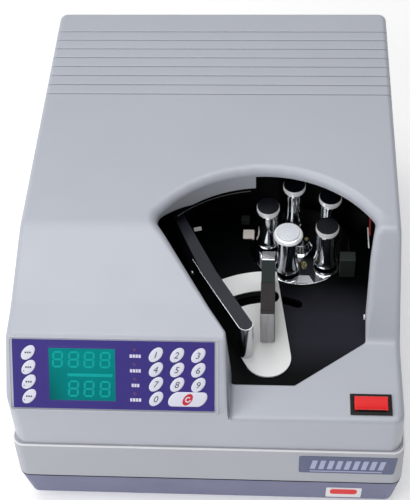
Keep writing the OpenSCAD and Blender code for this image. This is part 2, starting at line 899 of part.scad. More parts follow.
upper_cover();
lower_casing();
base_pan();
rubber_feet();
case_screws();
well_liner();
deck_plate();
console_overlay();
display_window();
display_module();
status_lamps();
panel_board();
switch_bezel();
name_plate();
support_frame();
drive_motor();
drive_belt();
vacuum_pump();
vacuum_hose();
sun_gear();
turret_bearing();
power_supply();
power_inlet();
control_board();
sensor_block();
pivot_pin();
power_rocker();
motor_pulley();
turret_table();
swing_plate();
rest_jaw();
jaw_wrap();
clamp_arm();
clamp_finger();
finger_tip();
key_cap(key_x(9), key_y(9), 0);  // key_0
key_cap(clear_x, key_y(9), clear_half_l);  // key_clear
for (i = [0 : 8])
    key_cap(key_x(i), key_y(i), 0);
for (i = [0 : 3])
    key_cap(function_col, key_row_1 - i * key_pitch_y, 0);
for (k = [1 : 5]) {
    spindle(k);
    spindle_cap(k);
}
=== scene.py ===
import math

import bpy
import bmesh
import numpy as np
from mathutils import Matrix, Vector
from mathutils.geometry import delaunay_2d_cdt


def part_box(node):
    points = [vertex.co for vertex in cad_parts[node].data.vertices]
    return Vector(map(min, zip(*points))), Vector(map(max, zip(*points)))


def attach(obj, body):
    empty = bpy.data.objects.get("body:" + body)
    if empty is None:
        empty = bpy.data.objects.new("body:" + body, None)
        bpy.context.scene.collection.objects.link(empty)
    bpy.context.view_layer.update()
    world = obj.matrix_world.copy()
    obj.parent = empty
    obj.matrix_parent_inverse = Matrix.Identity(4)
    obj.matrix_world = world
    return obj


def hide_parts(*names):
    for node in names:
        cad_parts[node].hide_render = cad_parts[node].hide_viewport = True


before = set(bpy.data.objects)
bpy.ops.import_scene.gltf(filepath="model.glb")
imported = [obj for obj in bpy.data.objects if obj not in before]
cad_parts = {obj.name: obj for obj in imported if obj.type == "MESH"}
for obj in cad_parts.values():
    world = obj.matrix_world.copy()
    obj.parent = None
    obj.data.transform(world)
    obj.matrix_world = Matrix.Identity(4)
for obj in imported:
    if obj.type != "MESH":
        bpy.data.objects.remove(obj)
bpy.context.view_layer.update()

# Driving dimensions in millimetres. x runs across, y back from the front seam and z up
# from the underside of the base pan; at() turns a point into the frame's metres.
MM = 0.001
BODY_D = 428.0
BODY_H = 226.0
HALF_W = 165.0
DRAFT = 0.03
SEAM_Z = 98.0
BASE_H = 46.0
LEDGE = 2.3
BASE_INSET = 4.4
SHELL_T = 2.6
CORNER_R = 8.0
MID_Y = (BODY_D + DRAFT * (BODY_H - SEAM_Z)) / 2
FOOT_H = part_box("base_pan")[0].z / MM
FRONT_TOP_Y = DRAFT * (BODY_H - SEAM_Z)

CONSOLE_FOOT = (1.63, 152.3)
CONSOLE_TOP = (42.5, 202.6)
RAMP_FOOT = (73.9, 206.4)
CREST = (142.4, 226.0)
DECK_Z = 143.0
DECK_BACK_Y = 83.9
FLOOR_Z = 139.5
CONSOLE_ANGLE = math.atan2(CONSOLE_TOP[1] - CONSOLE_FOOT[1], CONSOLE_TOP[0] - CONSOLE_FOOT[0])
FRONT_ANGLE = math.atan(DRAFT)


def at(x, y, z):
    return Vector((x, y - MID_Y, z + FOOT_H)) * MM


def plain(x, y, z):
    return (x, y, z)


def on_console(x, s, n):
    """x across, s up the slope of the console and n out of its face."""
    c, k = math.cos(CONSOLE_ANGLE), math.sin(CONSOLE_ANGLE)
    return (x, CONSOLE_FOOT[0] + s * c - n * k, CONSOLE_FOOT[1] + s * k + n * c)


def on_front(x, v, n):
    """x across, v up from the seam and n out of the lower casing's front face."""
    c, k = math.cos(FRONT_ANGLE), math.sin(FRONT_ANGLE)
    return (x, -LEDGE + v * k - n * c, SEAM_Z + v * c + n * k)


def middle(node):
    """The centre of a CAD node's box, in the same millimetres as at()."""
    lo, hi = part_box(node)
    c = (lo + hi) / 2 / MM
    return Vector((c.x, c.y + MID_Y, c.z - FOOT_H))


TURRET = middle("turret_table")
PIVOT = middle("pivot_pin")
SPINDLES = [middle(f"spindle_{k}") for k in range(1, 6)]


# ---------------------------------------------------------------- materials

def rgb(r, g, b):
    """Screen colour 0 to 255 as linear light."""
    return tuple((c / 255 / 12.92 if c <= 10 else ((c / 255 + 0.055) / 1.055) ** 2.4)
                 for c in (r, g, b)) + (1.0,)


def scaled(colour, k):
    return tuple(min(1.0, c * k) for c in colour[:3]) + (1.0,)


class Net:
    """A small builder for one material's nodes."""

    def __init__(self, name):
        self.material = bpy.data.materials.new(name)
        self.material.use_nodes = True
        self.tree = self.material.node_tree
        self.tree.nodes.clear()
        self.out = self.add("ShaderNodeOutputMaterial")
        self.shader = self.add("ShaderNodeBsdfPrincipled")
        self.join(self.shader.outputs[0], self.out.inputs["Surface"])
        self.where = self.add("ShaderNodeTexCoord").outputs["Object"]

    def add(self, kind, **values):
        node = self.tree.nodes.new(kind)
        for key, value in values.items():
            if hasattr(node, key):
                setattr(node, key, value)
            else:
                node.inputs[key.replace("_", " ")].default_value = value
        return node

    def join(self, a, b):
        self.tree.links.new(a, b)

    def noise(self, scale, detail=2.0, stretch=None, rough=0.5):
        source = self.where
        if stretch:
            mapping = self.add("ShaderNodeMapping", Scale=stretch)
            self.join(source, mapping.inputs["Vector"])
            source = mapping.outputs[0]
        node = self.add("ShaderNodeTexNoise", Scale=scale, Detail=detail, Roughness=rough)
        self.join(source, node.inputs["Vector"])
        return node.outputs["Fac"]

    def spread(self, value, low, high, lo_in=0.3, hi_in=0.7):
        node = self.add("ShaderNodeMapRange")
        for i, v in ((1, lo_in), (2, hi_in), (3, low), (4, high)):
            node.inputs[i].default_value = v
        self.join(value, node.inputs[0])
        return node.outputs[0]

    def mix(self, factor, a, b):
        node = self.add("ShaderNodeMix", data_type="RGBA")
        for socket, value in ((node.inputs[0], factor), (node.inputs[6], a), (node.inputs[7], b)):
            if isinstance(value, bpy.types.NodeSocket):
                self.join(value, socket)
            else:
                socket.default_value = value
        return node.outputs[2]

    def bump(self, height, strength, depth):
        node = self.add("ShaderNodeBump", Strength=strength, Distance=depth)
        self.join(height, node.inputs["Height"])
        self.join(node.outputs[0], self.shader.inputs["Normal"])


def finish(name, colour, rough, metal=0.0, grain=900.0, relief=0.12, drift=0.05, speck=0.03,
           stretch=None, coat=0.0, edge=None, glow=0.0, vary=0.06, specular=0.5):
    """One surface: a slow drift of tone, fine grain in tone, roughness and relief, and paler
    or darker edges where edge gives their colour. On the grey cover and casing, the white
    keys and swing plate and the red rocker the paler edge is a painted highlight; on the
    dark parts and the blue base it is only a paler edge."""
    net = Net(name)
    slow = net.noise(11.0, 3.0)
    fine = net.noise(grain, 3.0, stretch)
    tone = net.mix(net.spread(slow, 0, 1), scaled(colour, 1 - drift), scaled(colour, 1 + drift))
    tone = net.mix(net.spread(fine, 0, speck * 4), tone, scaled(colour, 0.72))
    if edge:
        bevel = net.add("ShaderNodeBevel", samples=4, Radius=0.0009)
        flat = net.add("ShaderNodeNewGeometry")
        dot = net.add("ShaderNodeVectorMath", operation="DOT_PRODUCT")
        net.join(bevel.outputs[0], dot.inputs[0])
        net.join(flat.outputs["Normal"], dot.inputs[1])
        # paler edges: painted highlight on the light and red parts, only paler on the dark ones
        highlight_and_wear_mask = net.spread(dot.outputs["Value"], 0.75, 0.0, 0.86, 0.99)
        patchy = net.add("ShaderNodeMath", operation="MULTIPLY")
        net.join(highlight_and_wear_mask, patchy.inputs[0])
        net.join(net.spread(net.noise(150.0, 4.0), 0.25, 1.0), patchy.inputs[1])
        tone = net.mix(patchy.outputs[0], tone, edge)
    net.join(tone, net.shader.inputs["Base Color"])
    smudge = net.noise(38.0, 4.0, None, 0.6)
    both = net.add("ShaderNodeMath", operation="ADD")
    net.join(net.spread(fine, -vary / 2, vary / 2), both.inputs[0])
    net.join(net.spread(smudge, rough - vary / 2, rough + vary), both.inputs[1])
    net.join(both.outputs[0], net.shader.inputs["Roughness"])
    net.shader.inputs["Metallic"].default_value = metal
    net.shader.inputs["Specular IOR Level"].default_value = specular
    net.shader.inputs["Coat Weight"].default_value = coat
    net.shader.inputs["Coat Roughness"].default_value = 0.06
    if glow:
        net.join(tone, net.shader.inputs["Emission Color"])
        net.shader.inputs["Emission Strength"].default_value = glow
    net.bump(fine, relief, 0.0003)
    return net.material


GREY = rgb(184, 188, 198)
M = {
    # the cover's paler edge colour is a painted highlight
    "cover": finish("cover_plastic", GREY, 0.34, grain=1500, relief=0.10, drift=0.018,
                    speck=0.012, edge=rgb(205, 207, 215)),
    # the casing's paler edge colour is a painted highlight along the seam
    "casing": finish("casing_plastic", rgb(178, 181, 189), 0.42, grain=1500, relief=0.10,
                     drift=0.02, speck=0.012, edge=rgb(206, 208, 216)),
    # painted highlight: near-white lip with a glow along the seam
    "lip_highlight": finish("casing_lip_painted_highlight", rgb(232, 233, 236), 0.4, grain=1500, relief=0.05, drift=0.02,
                   speck=0.01, glow=0.10),
    # painted shade: near-black colour in the gap between casing and base
    "groove": finish("base_gap_painted_shade", rgb(8, 9, 22), 0.6, grain=900, relief=0.1, specular=0.1),
    "base": finish("base_paint", rgb(112, 115, 148), 0.46, grain=1300, relief=0.25, drift=0.05,
                   speck=0.05, edge=rgb(140, 143, 172)),
    "rubber": finish("foot_rubber", rgb(34, 34, 36), 0.75, grain=700, relief=0.4, drift=0.1),
    "screw": finish("screw_zinc", rgb(190, 190, 192), 0.32, 1.0, 1800, 0.15, 0.05, 0.06),
    "liner": finish("liner_black", rgb(9, 10, 12), 0.55, grain=1200, relief=0.10, drift=0.2,
                    speck=0.05, edge=rgb(26, 27, 30), specular=0.15),
    "dark": finish("display_case", rgb(20, 44, 44), 0.5, grain=900),
    "lamp": finish("lamp_lens", rgb(92, 62, 126), 0.25, grain=900, coat=0.4),
    "board": finish("board_green", rgb(44, 105, 66), 0.4, grain=500, drift=0.12, speck=0.1),
    "switch": finish("switch_black", rgb(12, 10, 12), 0.4, grain=1600, relief=0.15,
                     edge=rgb(50, 46, 48), specular=0.25),
    # painted highlight: pink edges and a faint glow on the red rocker and the label mark
    "rocker": finish("rocker_red", rgb(228, 24, 26), 0.34, grain=1800, relief=0.05, drift=0.05,
                     edge=rgb(255, 150, 140), glow=0.06, specular=0.2),
    "plate": finish("plate_slate", rgb(72, 82, 122), 0.36, grain=2200, relief=0.08, drift=0.07,
                    speck=0.08, coat=0.2),
    "frame": finish("frame_steel", rgb(150, 152, 156), 0.42, 0.9, 500, 0.1, 0.08, 0.05,
                    (1, 12, 1)),
    "motor": finish("motor_dark", rgb(60, 62, 66), 0.5, 0.3, 700, 0.2),
    "belt": finish("belt_rubber", rgb(28, 28, 30), 0.7, grain=900, relief=0.4),
    "pump": finish("pump_grey", rgb(100, 106, 114), 0.5, 0.2, 500, 0.2),
    "hose": finish("hose_rubber", rgb(46, 48, 52), 0.6, grain=600, relief=0.3),
    "brass": finish("gear_brass", rgb(158, 148, 104), 0.32, 0.9, 900, 0.1, 0.08, 0.1),
    "supply": finish("supply_grey", rgb(160, 163, 168), 0.4, 0.8, 600, 0.1, 0.06, 0.05,
                     (1, 10, 1)),
    "sensor": finish("sensor_grey", rgb(44, 51, 48), 0.6, grain=900, relief=0.2, drift=0.1,
                     edge=rgb(70, 78, 72), specular=0.15),
    "white": finish("swing_plate_white", rgb(242, 243, 243), 0.4, 0.0, 420, 0.05, 0.03, 0.02,
                    (1, 7, 1), edge=rgb(252, 252, 252)),
    "jaw": finish("jaw_dark", rgb(42, 44, 54), 0.44, grain=1100, relief=0.2, drift=0.1,
                  speck=0.08, edge=rgb(78, 80, 90), specular=0.35),
    "steel": finish("jaw_steel", rgb(206, 208, 212), 0.16, 1.0, 500, 0.05, 0.04, 0.04,
                    (1, 1, 0.06)),
    "finger": finish("finger_dark", rgb(26, 40, 38), 0.45, grain=1200, relief=0.15, drift=0.15,
                     speck=0.08, edge=rgb(66, 76, 74), specular=0.3),
    "sleeve": finish("finger_sleeve", rgb(44, 40, 41), 0.5, grain=420, relief=0.3, drift=0.25,
                     speck=0.15, edge=rgb(78, 74, 74), specular=0.3),
    "arm": finish("arm_steel", rgb(140, 143, 149), 0.4, 0.9, 600, 0.1),
    "chrome": finish("turret_chrome", rgb(214, 216, 220), 0.07, 1.0, 1400, 0.02, 0.03, 0.02,
                     vary=0.02),
    # painted highlight: near-white, glowing chrome on the spindle caps
    "cap": finish("cap_chrome", rgb(250, 251, 253), 0.16, 0.4, 1400, 0.03, 0.03, 0.02,
                  glow=0.16),
    # painted reflection: dark on four cap tops, light on the wide cap's top
    "dark_reflection_top": finish("cap_top_dark_painted_reflection", rgb(14, 15, 22), 0.34, 0.0, 1800, 0.25, 0.12, 0.1,
                       specular=0.15),
    "light_reflection_top": finish("cap_top_light_painted_reflection", rgb(222, 226, 234), 0.34, 0.1, 900, 0.6, 0.04, 0.12),
    # painted reflection: pale patch on the turret disc
    "chrome_reflection": finish("turret_painted_reflection", rgb(206, 208, 212), 0.4, 0.3, 900, 0.05),
    "key": finish("key_white", rgb(226, 228, 242), 0.38, grain=1600, relief=0.06, drift=0.02,
                  edge=rgb(250, 250, 255)),
    "ink": finish("key_ink", rgb(62, 62, 84), 0.5, grain=2500, relief=0.05),
    "red": finish("reset_red", rgb(206, 44, 58), 0.4, grain=2500, relief=0.05),
    "print": finish("print_white", rgb(226, 224, 246), 0.45, grain=2600, relief=0.05),
    "pale": finish("plate_print", rgb(176, 180, 214), 0.4, grain=2200, relief=0.05),
    "overlay": finish("overlay_blue", rgb(58, 46, 134), 0.34, grain=2600, relief=0.12,
                      drift=0.06, speck=0.10, coat=0.15),
    "label": finish("label_white", rgb(238, 236, 238), 0.4, grain=1500, relief=0.04),
    # painted light: the pad glows to lift it out of the well's shade
    "pad": finish("pad_cream_painted_glow", rgb(236, 226, 220), 0.6, grain=900, relief=0.3, drift=0.1,
                  glow=0.12),
    # painted light: the tag, side clip and side wire glow to lift them out of shade
    "tag": finish("tag_white_painted_glow", rgb(242, 242, 244), 0.5, grain=900, relief=0.1, glow=0.2),
    # painted light: the red wire sleeve glows
    "wire": finish("wire_red_painted_glow", rgb(168, 30, 36), 0.4, grain=900, glow=0.1),
    # painted shade: dark copy of the rocker red
    "rocker_painted_shade": finish("rocker_shaded_red", rgb(74, 10, 12), 0.5, grain=1600, relief=0.05,
                          specular=0.2),
    "finger_face": finish("finger_face", rgb(198, 196, 200), 0.35, 0.1, 900, 0.1, 0.2, 0.25,
                          (1, 1, 0.03)),
    "digit": finish("digit_glow", rgb(14, 152, 150), 0.6, grain=1800, relief=0.02, glow=0.2,
                    specular=0.1),
}


def window_material():
    """Tinted filter over the display: brighter where the lit rows are, darker at its edges."""
    net = Net("window_teal")
    lo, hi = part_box("display_window")
    axes = net.add("ShaderNodeSeparateXYZ")
    net.join(net.where, axes.inputs[0])
    up = net.spread(axes.outputs["Z"], 0, 1, lo.z, hi.z)
    side = net.spread(axes.outputs["X"], 0, 1, lo.x, lo.x + 0.3 * (hi.x - lo.x))
    glow = net.noise(60.0, 2.0)
    low = net.mix(side, rgb(0, 76, 78), rgb(0, 112, 112))
    tone = net.mix(up, low, rgb(0, 126, 125))
    tone = net.mix(net.spread(glow, 0, 0.35), tone, rgb(0, 102, 104))
    net.join(tone, net.shader.inputs["Base Color"])
    net.join(tone, net.shader.inputs["Emission Color"])
    net.shader.inputs["Emission Strength"].default_value = 0.25
    net.shader.inputs["Specular IOR Level"].default_value = 0.12
    net.join(net.spread(net.noise(900.0), 0.28, 0.36), net.shader.inputs["Roughness"])
    return net.material


def deck_material():
    """Black deck plate with painted light: greyer across its middle towards the right, where a
    reflection is painted, and near black at the front, back and left, where shade is painted.
    """
    net = Net("deck_black")
    axes = net.add("ShaderNodeSeparateXYZ")
    net.join(net.where, axes.inputs[0])
    near = net.spread(axes.outputs["Y"], 0, 1, at(0, 48, 0).y, at(0, 84, 0).y)
    far = net.spread(axes.outputs["Y"], 1, 0, at(0, 112, 0).y, at(0, 150, 0).y)
    right = net.spread(axes.outputs["X"], 0, 1, at(30, 0, 0).x, at(80, 0, 0).x)
    across = net.add("ShaderNodeMath", operation="MULTIPLY")
    net.join(near, across.inputs[0])
    net.join(far, across.inputs[1])
    highlight_and_wear_mask = net.add("ShaderNodeMath", operation="MULTIPLY")
    net.join(across.outputs[0], highlight_and_wear_mask.inputs[0])
    net.join(right, highlight_and_wear_mask.inputs[1])
    # painted reflection on the middle of the deck, painted shade elsewhere
    tone = net.mix(highlight_and_wear_mask.outputs[0], rgb(4, 6, 7), rgb(42, 42, 52))
    fine = net.noise(1500.0, 3.0)
    tone = net.mix(net.spread(fine, 0, 0.2), tone, rgb(8, 8, 10))
    net.join(tone, net.shader.inputs["Base Color"])
    net.join(net.spread(net.noise(38.0, 4.0), 0.3, 0.42), net.shader.inputs["Roughness"])
    net.shader.inputs["Specular IOR Level"].default_value = 0.05
    net.bump(fine, 0.12, 0.0003)
    return net.material


M["window"] = window_material()
M["deck"] = deck_material()


# ---------------------------------------------------------------- mesh tools

def smooth_group():
    """Geometry nodes that smooth every edge flatter than 32 degrees."""
    group = bpy.data.node_groups.new("smooth_by_angle", "GeometryNodeTree")
    for side in ("INPUT", "OUTPUT"):
        group.interface.new_socket("Geometry", in_out=side, socket_type="NodeSocketGeometry")
    add, join = group.nodes.new, group.links.new
    source, sink = add("NodeGroupInput"), add("NodeGroupOutput")
    angle, less = add("GeometryNodeInputMeshEdgeAngle"), add("FunctionNodeCompare")
    less.operation = "LESS_THAN"
    less.inputs[1].default_value = math.radians(32)
    join(angle.outputs[0], less.inputs[0])
    faces, edges = add("GeometryNodeSetShadeSmooth"), add("GeometryNodeSetShadeSmooth")
    faces.domain, edges.domain = "FACE", "EDGE"
    join(source.outputs[0], faces.inputs["Geometry"])
    join(faces.outputs[0], edges.inputs["Geometry"])
    join(less.outputs[0], edges.inputs["Shade Smooth"])
    join(edges.outputs[0], sink.inputs[0])
    return group


SMOOTH = smooth_group()


def dress(obj, bevel=0.0, weld=False):
    """Softens the edges of an object and shades it smooth, all by modifiers."""
    if weld:
        joined = obj.modifiers.new("weld", "WELD")
        joined.merge_threshold = 1e-6
        flat = obj.modifiers.new("flat", "DECIMATE")
        flat.decimate_type = "DISSOLVE"
        flat.angle_limit = math.radians(0.6)
    if bevel:
        soft = obj.modifiers.new("bevel", "BEVEL")
        soft.width = bevel * MM
        soft.segments = 2
        soft.limit_method = "ANGLE"
        soft.angle_limit = math.radians(34)
    obj.modifiers.new("smooth", "NODES").node_group = SMOOTH
    weighted = obj.modifiers.new("normals", "WEIGHTED_NORMAL")
    weighted.keep_sharp = True


def new_object(name, points, faces):
    mesh = bpy.data.meshes.new(name)
    mesh.from_pydata(points, [], faces)
    obj = bpy.data.objects.new(name, mesh)
    bpy.context.scene.collection.objects.link(obj)
    return obj


def face_outwards(mesh, weld=False):
    """Turns every face of a closed mesh outwards, and joins doubled points if weld is set."""
    work = bmesh.new()
    work.from_mesh(mesh)
    if weld:
        bmesh.ops.remove_doubles(work, verts=work.verts, dist=1e-7)
    bmesh.ops.recalc_face_normals(work, faces=work.faces)
    work.to_mesh(mesh)
    work.free()


def piece(name, shape, material, body="root", stands_for=(), to=plain, bevel=0.0):
    """A new object from (points, faces) given in the frame that to() reads."""
    points, faces = shape
    obj = new_object(name, [at(*to(*p)) for p in points], faces)
    face_outwards(obj.data, weld=True)
    obj.data.materials.append(M[material])
    dress(obj, bevel)
    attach(obj, body)
    if stands_for:
        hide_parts(*stands_for)
    return obj


def merged(*shapes):
    points, faces = [], []
    for p, f in shapes:
        base = len(points)
        points += list(p)
        faces += [tuple(i + base for i in face) for face in f]
    return points, faces


def moved(shape, dx=0.0, dy=0.0, dz=0.0):
    return [(x + dx, y + dy, z + dz) for x, y, z in shape[0]], shape[1]


def rings_solid(rings, closed=True):
    """Faces between rings of equal length, with both ends capped when closed."""
    n = len(rings[0])
    points = [p for ring in rings for p in ring]
    faces = []
    for r in range(len(rings) - 1):
        a, b = r * n, (r + 1) * n
        faces += [(a + i, a + (i + 1) % n, b + (i + 1) % n, b + i) for i in range(n)]
    if closed:
        faces.append(tuple(range(n - 1, -1, -1)))
        faces.append(tuple(range(len(points) - n, len(points))))
    return points, faces


def band(rings):
    """A closed tube through rings of equal length, with the last joined to the first."""
    points, faces = rings_solid(rings + rings[:1], closed=False)
    total = len(rings) * len(rings[0])
    return points[:total], [tuple(i % total for i in f) for f in faces]


def prism(outline, low, high):
    return rings_solid([[(x, y, low) for x, y in outline], [(x, y, high) for x, y in outline]])


def rectangle(x0, x1, y0, y1, r=0.0, steps=5):
    if not r:
        return [(x0, y0), (x1, y0), (x1, y1), (x0, y1)]
    out = []
    for cx, cy, start in ((x1 - r, y0 + r, -90), (x1 - r, y1 - r, 0), (x0 + r, y1 - r, 90),
                          (x0 + r, y0 + r, 180)):
        for i in range(steps + 1):
            a = math.radians(start + 90 * i / steps)
            out.append((cx + r * math.cos(a), cy + r * math.sin(a)))
    return out


def slab(x0, x1, y0, y1, z0, z1, r=0.0):
    return prism(rectangle(x0, x1, y0, y1, r), z0, z1)


def lathe(profile, sides=64, centre=(0.0, 0.0)):
    """A solid of revolution from (radius, height) points; ends on the axis are closed."""
    rings = [[(centre[0] + r * math.cos(2 * math.pi * i / sides),
               centre[1] + r * math.sin(2 * math.pi * i / sides), z) for i in range(sides)]
             for r, z in profile]
    return rings_solid(rings)


def tube_path(path, r, sides=12):
    """A round rod along a list of points."""
    rings = []
    pts = [Vector(p) for p in path]
    for i, p in enumerate(pts):
        way = (pts[min(i + 1, len(pts) - 1)] - pts[max(i - 1, 0)]).normalized()
        side = way.cross(Vector((0.31, 0.17, 0.93))).normalized()
        up = side.cross(way).normalized()
        rings.append([tuple(p + side * r * math.cos(a) + up * r * math.sin(a))
                      for a in (2 * math.pi * k / sides for k in range(sides))])
    return rings_solid(rings)


def baked(obj):
    """Replaces an object's mesh by what its modifiers make of it."""
    graph = bpy.context.evaluated_depsgraph_get()
    mesh = bpy.data.meshes.new_from_object(obj.evaluated_get(graph), depsgraph=graph)
    obj.modifiers.clear()
    obj.data = mesh


def cut(obj, shape):
    """Takes a closed shape, in millimetres, out of an object."""
    cutter = new_object("cutter", [at(*p) for p in shape[0]], shape[1])
    face_outwards(cutter.data)
    modifier = obj.modifiers.new("cut", "BOOLEAN")
    modifier.object = cutter
    modifier.operation = "DIFFERENCE"
    modifier.solver = "EXACT"
    baked(obj)
    bpy.data.objects.remove(cutter)


def framed(shape, to):
    return [to(*p) for p in shape[0]], shape[1]


# ---------------------------------------------------------------- upper cover

def fillet_line(points, radii, step=9.0):
    """A polyline whose corners are rounded to the given radii."""
    out = [tuple(points[0])]
    for before, corner, after, r in zip(points, points[1:-1], points[2:], radii):
        p0, p1, p2 = Vector(before), Vector(corner), Vector(after)
        a, b = (p0 - p1).normalized(), (p2 - p1).normalized()
        half = a.angle(b) / 2
        turn = math.pi - 2 * half
        if r <= 0 or turn < 0.01:
            out.append(tuple(p1))
            continue
        reach = r / math.tan(half)
        centre = p1 + (a + b).normalized() * (r / math.sin(half))
        start = (p1 + a * reach) - centre
        sign = 1 if (a.x * b.y - a.y * b.x) < 0 else -1
        count = max(2, round(math.degrees(turn) / step))
        for i in range(count + 1):
            out.append(tuple(centre + Matrix.Rotation(sign * turn * i / count, 2) @ start))
    out.append(tuple(points[-1]))
    return out


CONSOLE_SLOPE = math.tan(CONSOLE_ANGLE)
LEFT_PROFILE = fillet_line(
    [(-30, CONSOLE_FOOT[1] - (30 + CONSOLE_FOOT[0]) * CONSOLE_SLOPE), CONSOLE_TOP, RAMP_FOOT,
     CREST, (500, BODY_H)], [7, 40, 60], 4.0)
RIGHT_PROFILE = fillet_line([(-30, DECK_Z), (DECK_BACK_Y, DECK_Z), CREST, (500, BODY_H)],
                            [9, 9], 8.0)
RIB_START, RIB_PITCH, RIB_COUNT = 308.0, 12.93, 8
RIB_SECTION = ((-1.2, 0.0), (-0.7, 0.3), (-0.45, 1.7), (0.45, 1.7), (0.7, 0.3), (1.2, 0.0))
WALL_X, WALL_LEAN = 21.2, 3.5 / 60
WALL_MIDDLE_Z, WALL_TOP_Z = 170, 196
MOUTH_FRONT_Y = 36.5
WELL_LEFT, WELL_RIGHT = Vector((-48.2, 154.8)), Vector((144.06, 154.7))
WELL_WALL_BACK = (17.5, 49)
RIM_CENTRE, RIM_IN_R = Vector((47.9, 98.5)), 111.4
TIGHT_ROLL, WIDE_ROLL = 1.4, 8.0
SKIRT_STEP_X, SKIRT_DEEP, SKIRT_SHALLOW = 39.0, 24.0, 8.8


def wall_x(z):
    """The console's right wall leans in as it rises from the deck."""
    return WALL_X - WALL_LEAN * (z - DECK_Z)


def height(x, y):
    left = np.interp(y, *zip(*LEFT_PROFILE))
    right = np.interp(y, *zip(*RIGHT_PROFILE))
    z = np.where(x < wall_x(WALL_MIDDLE_Z), left, right)
    groove = np.zeros_like(z)
    for i in range(RIB_COUNT):
        offset, depth = zip(*RIB_SECTION)
        groove = np.maximum(groove, np.interp(y - RIB_START - i * RIB_PITCH, offset, depth))
    return z - groove


def mouth_outline():
    """The well's edge from the console wall round to the deck, clockwise from above."""
    start = math.atan2(*(WELL_LEFT - RIM_CENTRE).yx) - 0.1
    stop = math.atan2(*(WELL_RIGHT - RIM_CENTRE).yx) + 0.06
    step = math.acos((SKIRT_STEP_X - RIM_CENTRE.x) / RIM_IN_R)
    turns = sorted([*np.linspace(start, stop, 44), step + 0.0006, step - 0.0006], reverse=True)
    arc = [tuple(RIM_CENTRE + RIM_IN_R * Vector((math.cos(a), math.sin(a)))) for a in turns]
    corners = ([(wall_x(WALL_TOP_Z), MOUTH_FRONT_Y), WELL_WALL_BACK, tuple(WELL_LEFT)] + arc
               + [tuple(WELL_RIGHT), (139.5, 131), (136.8, 102), (137.4, 82.5),
                  (75.4, MOUTH_FRONT_Y), (WALL_X, MOUTH_FRONT_Y)])
    radii = [5, 14] + [0] * len(arc) + [10, 20, 20, 4, 3]
    return fillet_line(corners, radii, 8.0)


def roll_radius(p):
    """How far the well's edge rolls over: wide round the arc, tight at the front."""
    x, y = p
    if y < MOUTH_FRONT_Y + 47 and x > 20:
        return TIGHT_ROLL
    if x < SKIRT_STEP_X:
        from_line = (x - WELL_WALL_BACK[0]) * 0.8495 + (y - WELL_WALL_BACK[1]) * 0.5275
        least = float(np.interp(y, (95, 155), (2.6, 9.5)))
        return float(np.interp(from_line, (0.5, 24), (least, WIDE_ROLL)))
    return float(np.interp(y, (84, 104), (TIGHT_ROLL, WIDE_ROLL)))


def outward(p):
    """Unit vector out of the plan rectangle at p, and the distance in from its outline."""
    half = Vector((HALF_W, (BODY_D - FRONT_TOP_Y) / 2))
    centre = Vector((0, (BODY_D + FRONT_TOP_Y) / 2))
    q = Vector(p) - centre
    inner = Vector((abs(q.x) - half.x + CORNER_R, abs(q.y) - half.y + CORNER_R))
    if inner.x > 0 and inner.y > 0:
        way = inner.normalized()
        depth = CORNER_R - inner.length
    elif inner.x > inner.y:
        way, depth = Vector((1, 0)), CORNER_R - inner.x
    else:
        way, depth = Vector((0, 1)), CORNER_R - inner.y
    return Vector((math.copysign(way.x, q.x), math.copysign(way.y, q.y))), depth


def rolled(distance, r):
    """How far a rounded edge of radius r falls at a distance in from it."""
    if distance >= r:
        return 0.0
    t = 1 - max(distance, 0.0) / r
    return r * (1 - math.sqrt(max(0.0, 1 - t * t)))


def edge_distance(points, line, values):
    """Distance from each point to a polyline, and the line's value where it is nearest."""
    best = np.full(len(points), 1e9)
    at_best = np.zeros(len(points))
    for (a, b), (va, vb) in zip(zip(line, line[1:]), zip(values, values[1:])):
        a, d = np.array(a), np.array(b) - np.array(a)
        t = np.clip(((points - a) @ d) / max(d @ d, 1e-9), 0, 1)
        gap = np.linalg.norm(points - a - t[:, None] * d, axis=1)
        nearer = gap < best
        best = np.where(nearer, gap, best)
        at_best = np.where(nearer, va + t * (vb - va), at_best)
    return best, at_best


def offset_line(line, distances):
    """A polyline moved to its left by a distance at each point."""
    out = []
    for i, p in enumerate(line):
        a = Vector(line[max(i - 1, 0)])
        b = Vector(line[min(i + 1, len(line) - 1)])
        way = (b - a).normalized()
        out.append(tuple(Vector(p) + Vector((-way.y, way.x)) * distances[i]))
    return out


def inside(points, polygon):
    poly = np.array(polygon)
    x, y = points[:, 0], points[:, 1]
    result = np.zeros(len(points), bool)
    for (x0, y0), (x1, y1) in zip(poly, np.roll(poly, -1, axis=0)):
        crosses = (y0 > y) != (y1 > y)
        with np.errstate(divide="ignore", invalid="ignore"):
            reach = (x1 - x0) * (y - y0) / (y1 - y0) + x0
        result ^= crosses & (x < reach)
    return result


ROLL_STEPS = [math.radians(a) for a in (0, 14, 30, 48, 68, 90)]
TOP_ROLL = 5.0
FRONT_ROLL = 3.0
WALL_ROLL = 4.0
WALL_FILLET = 3.0


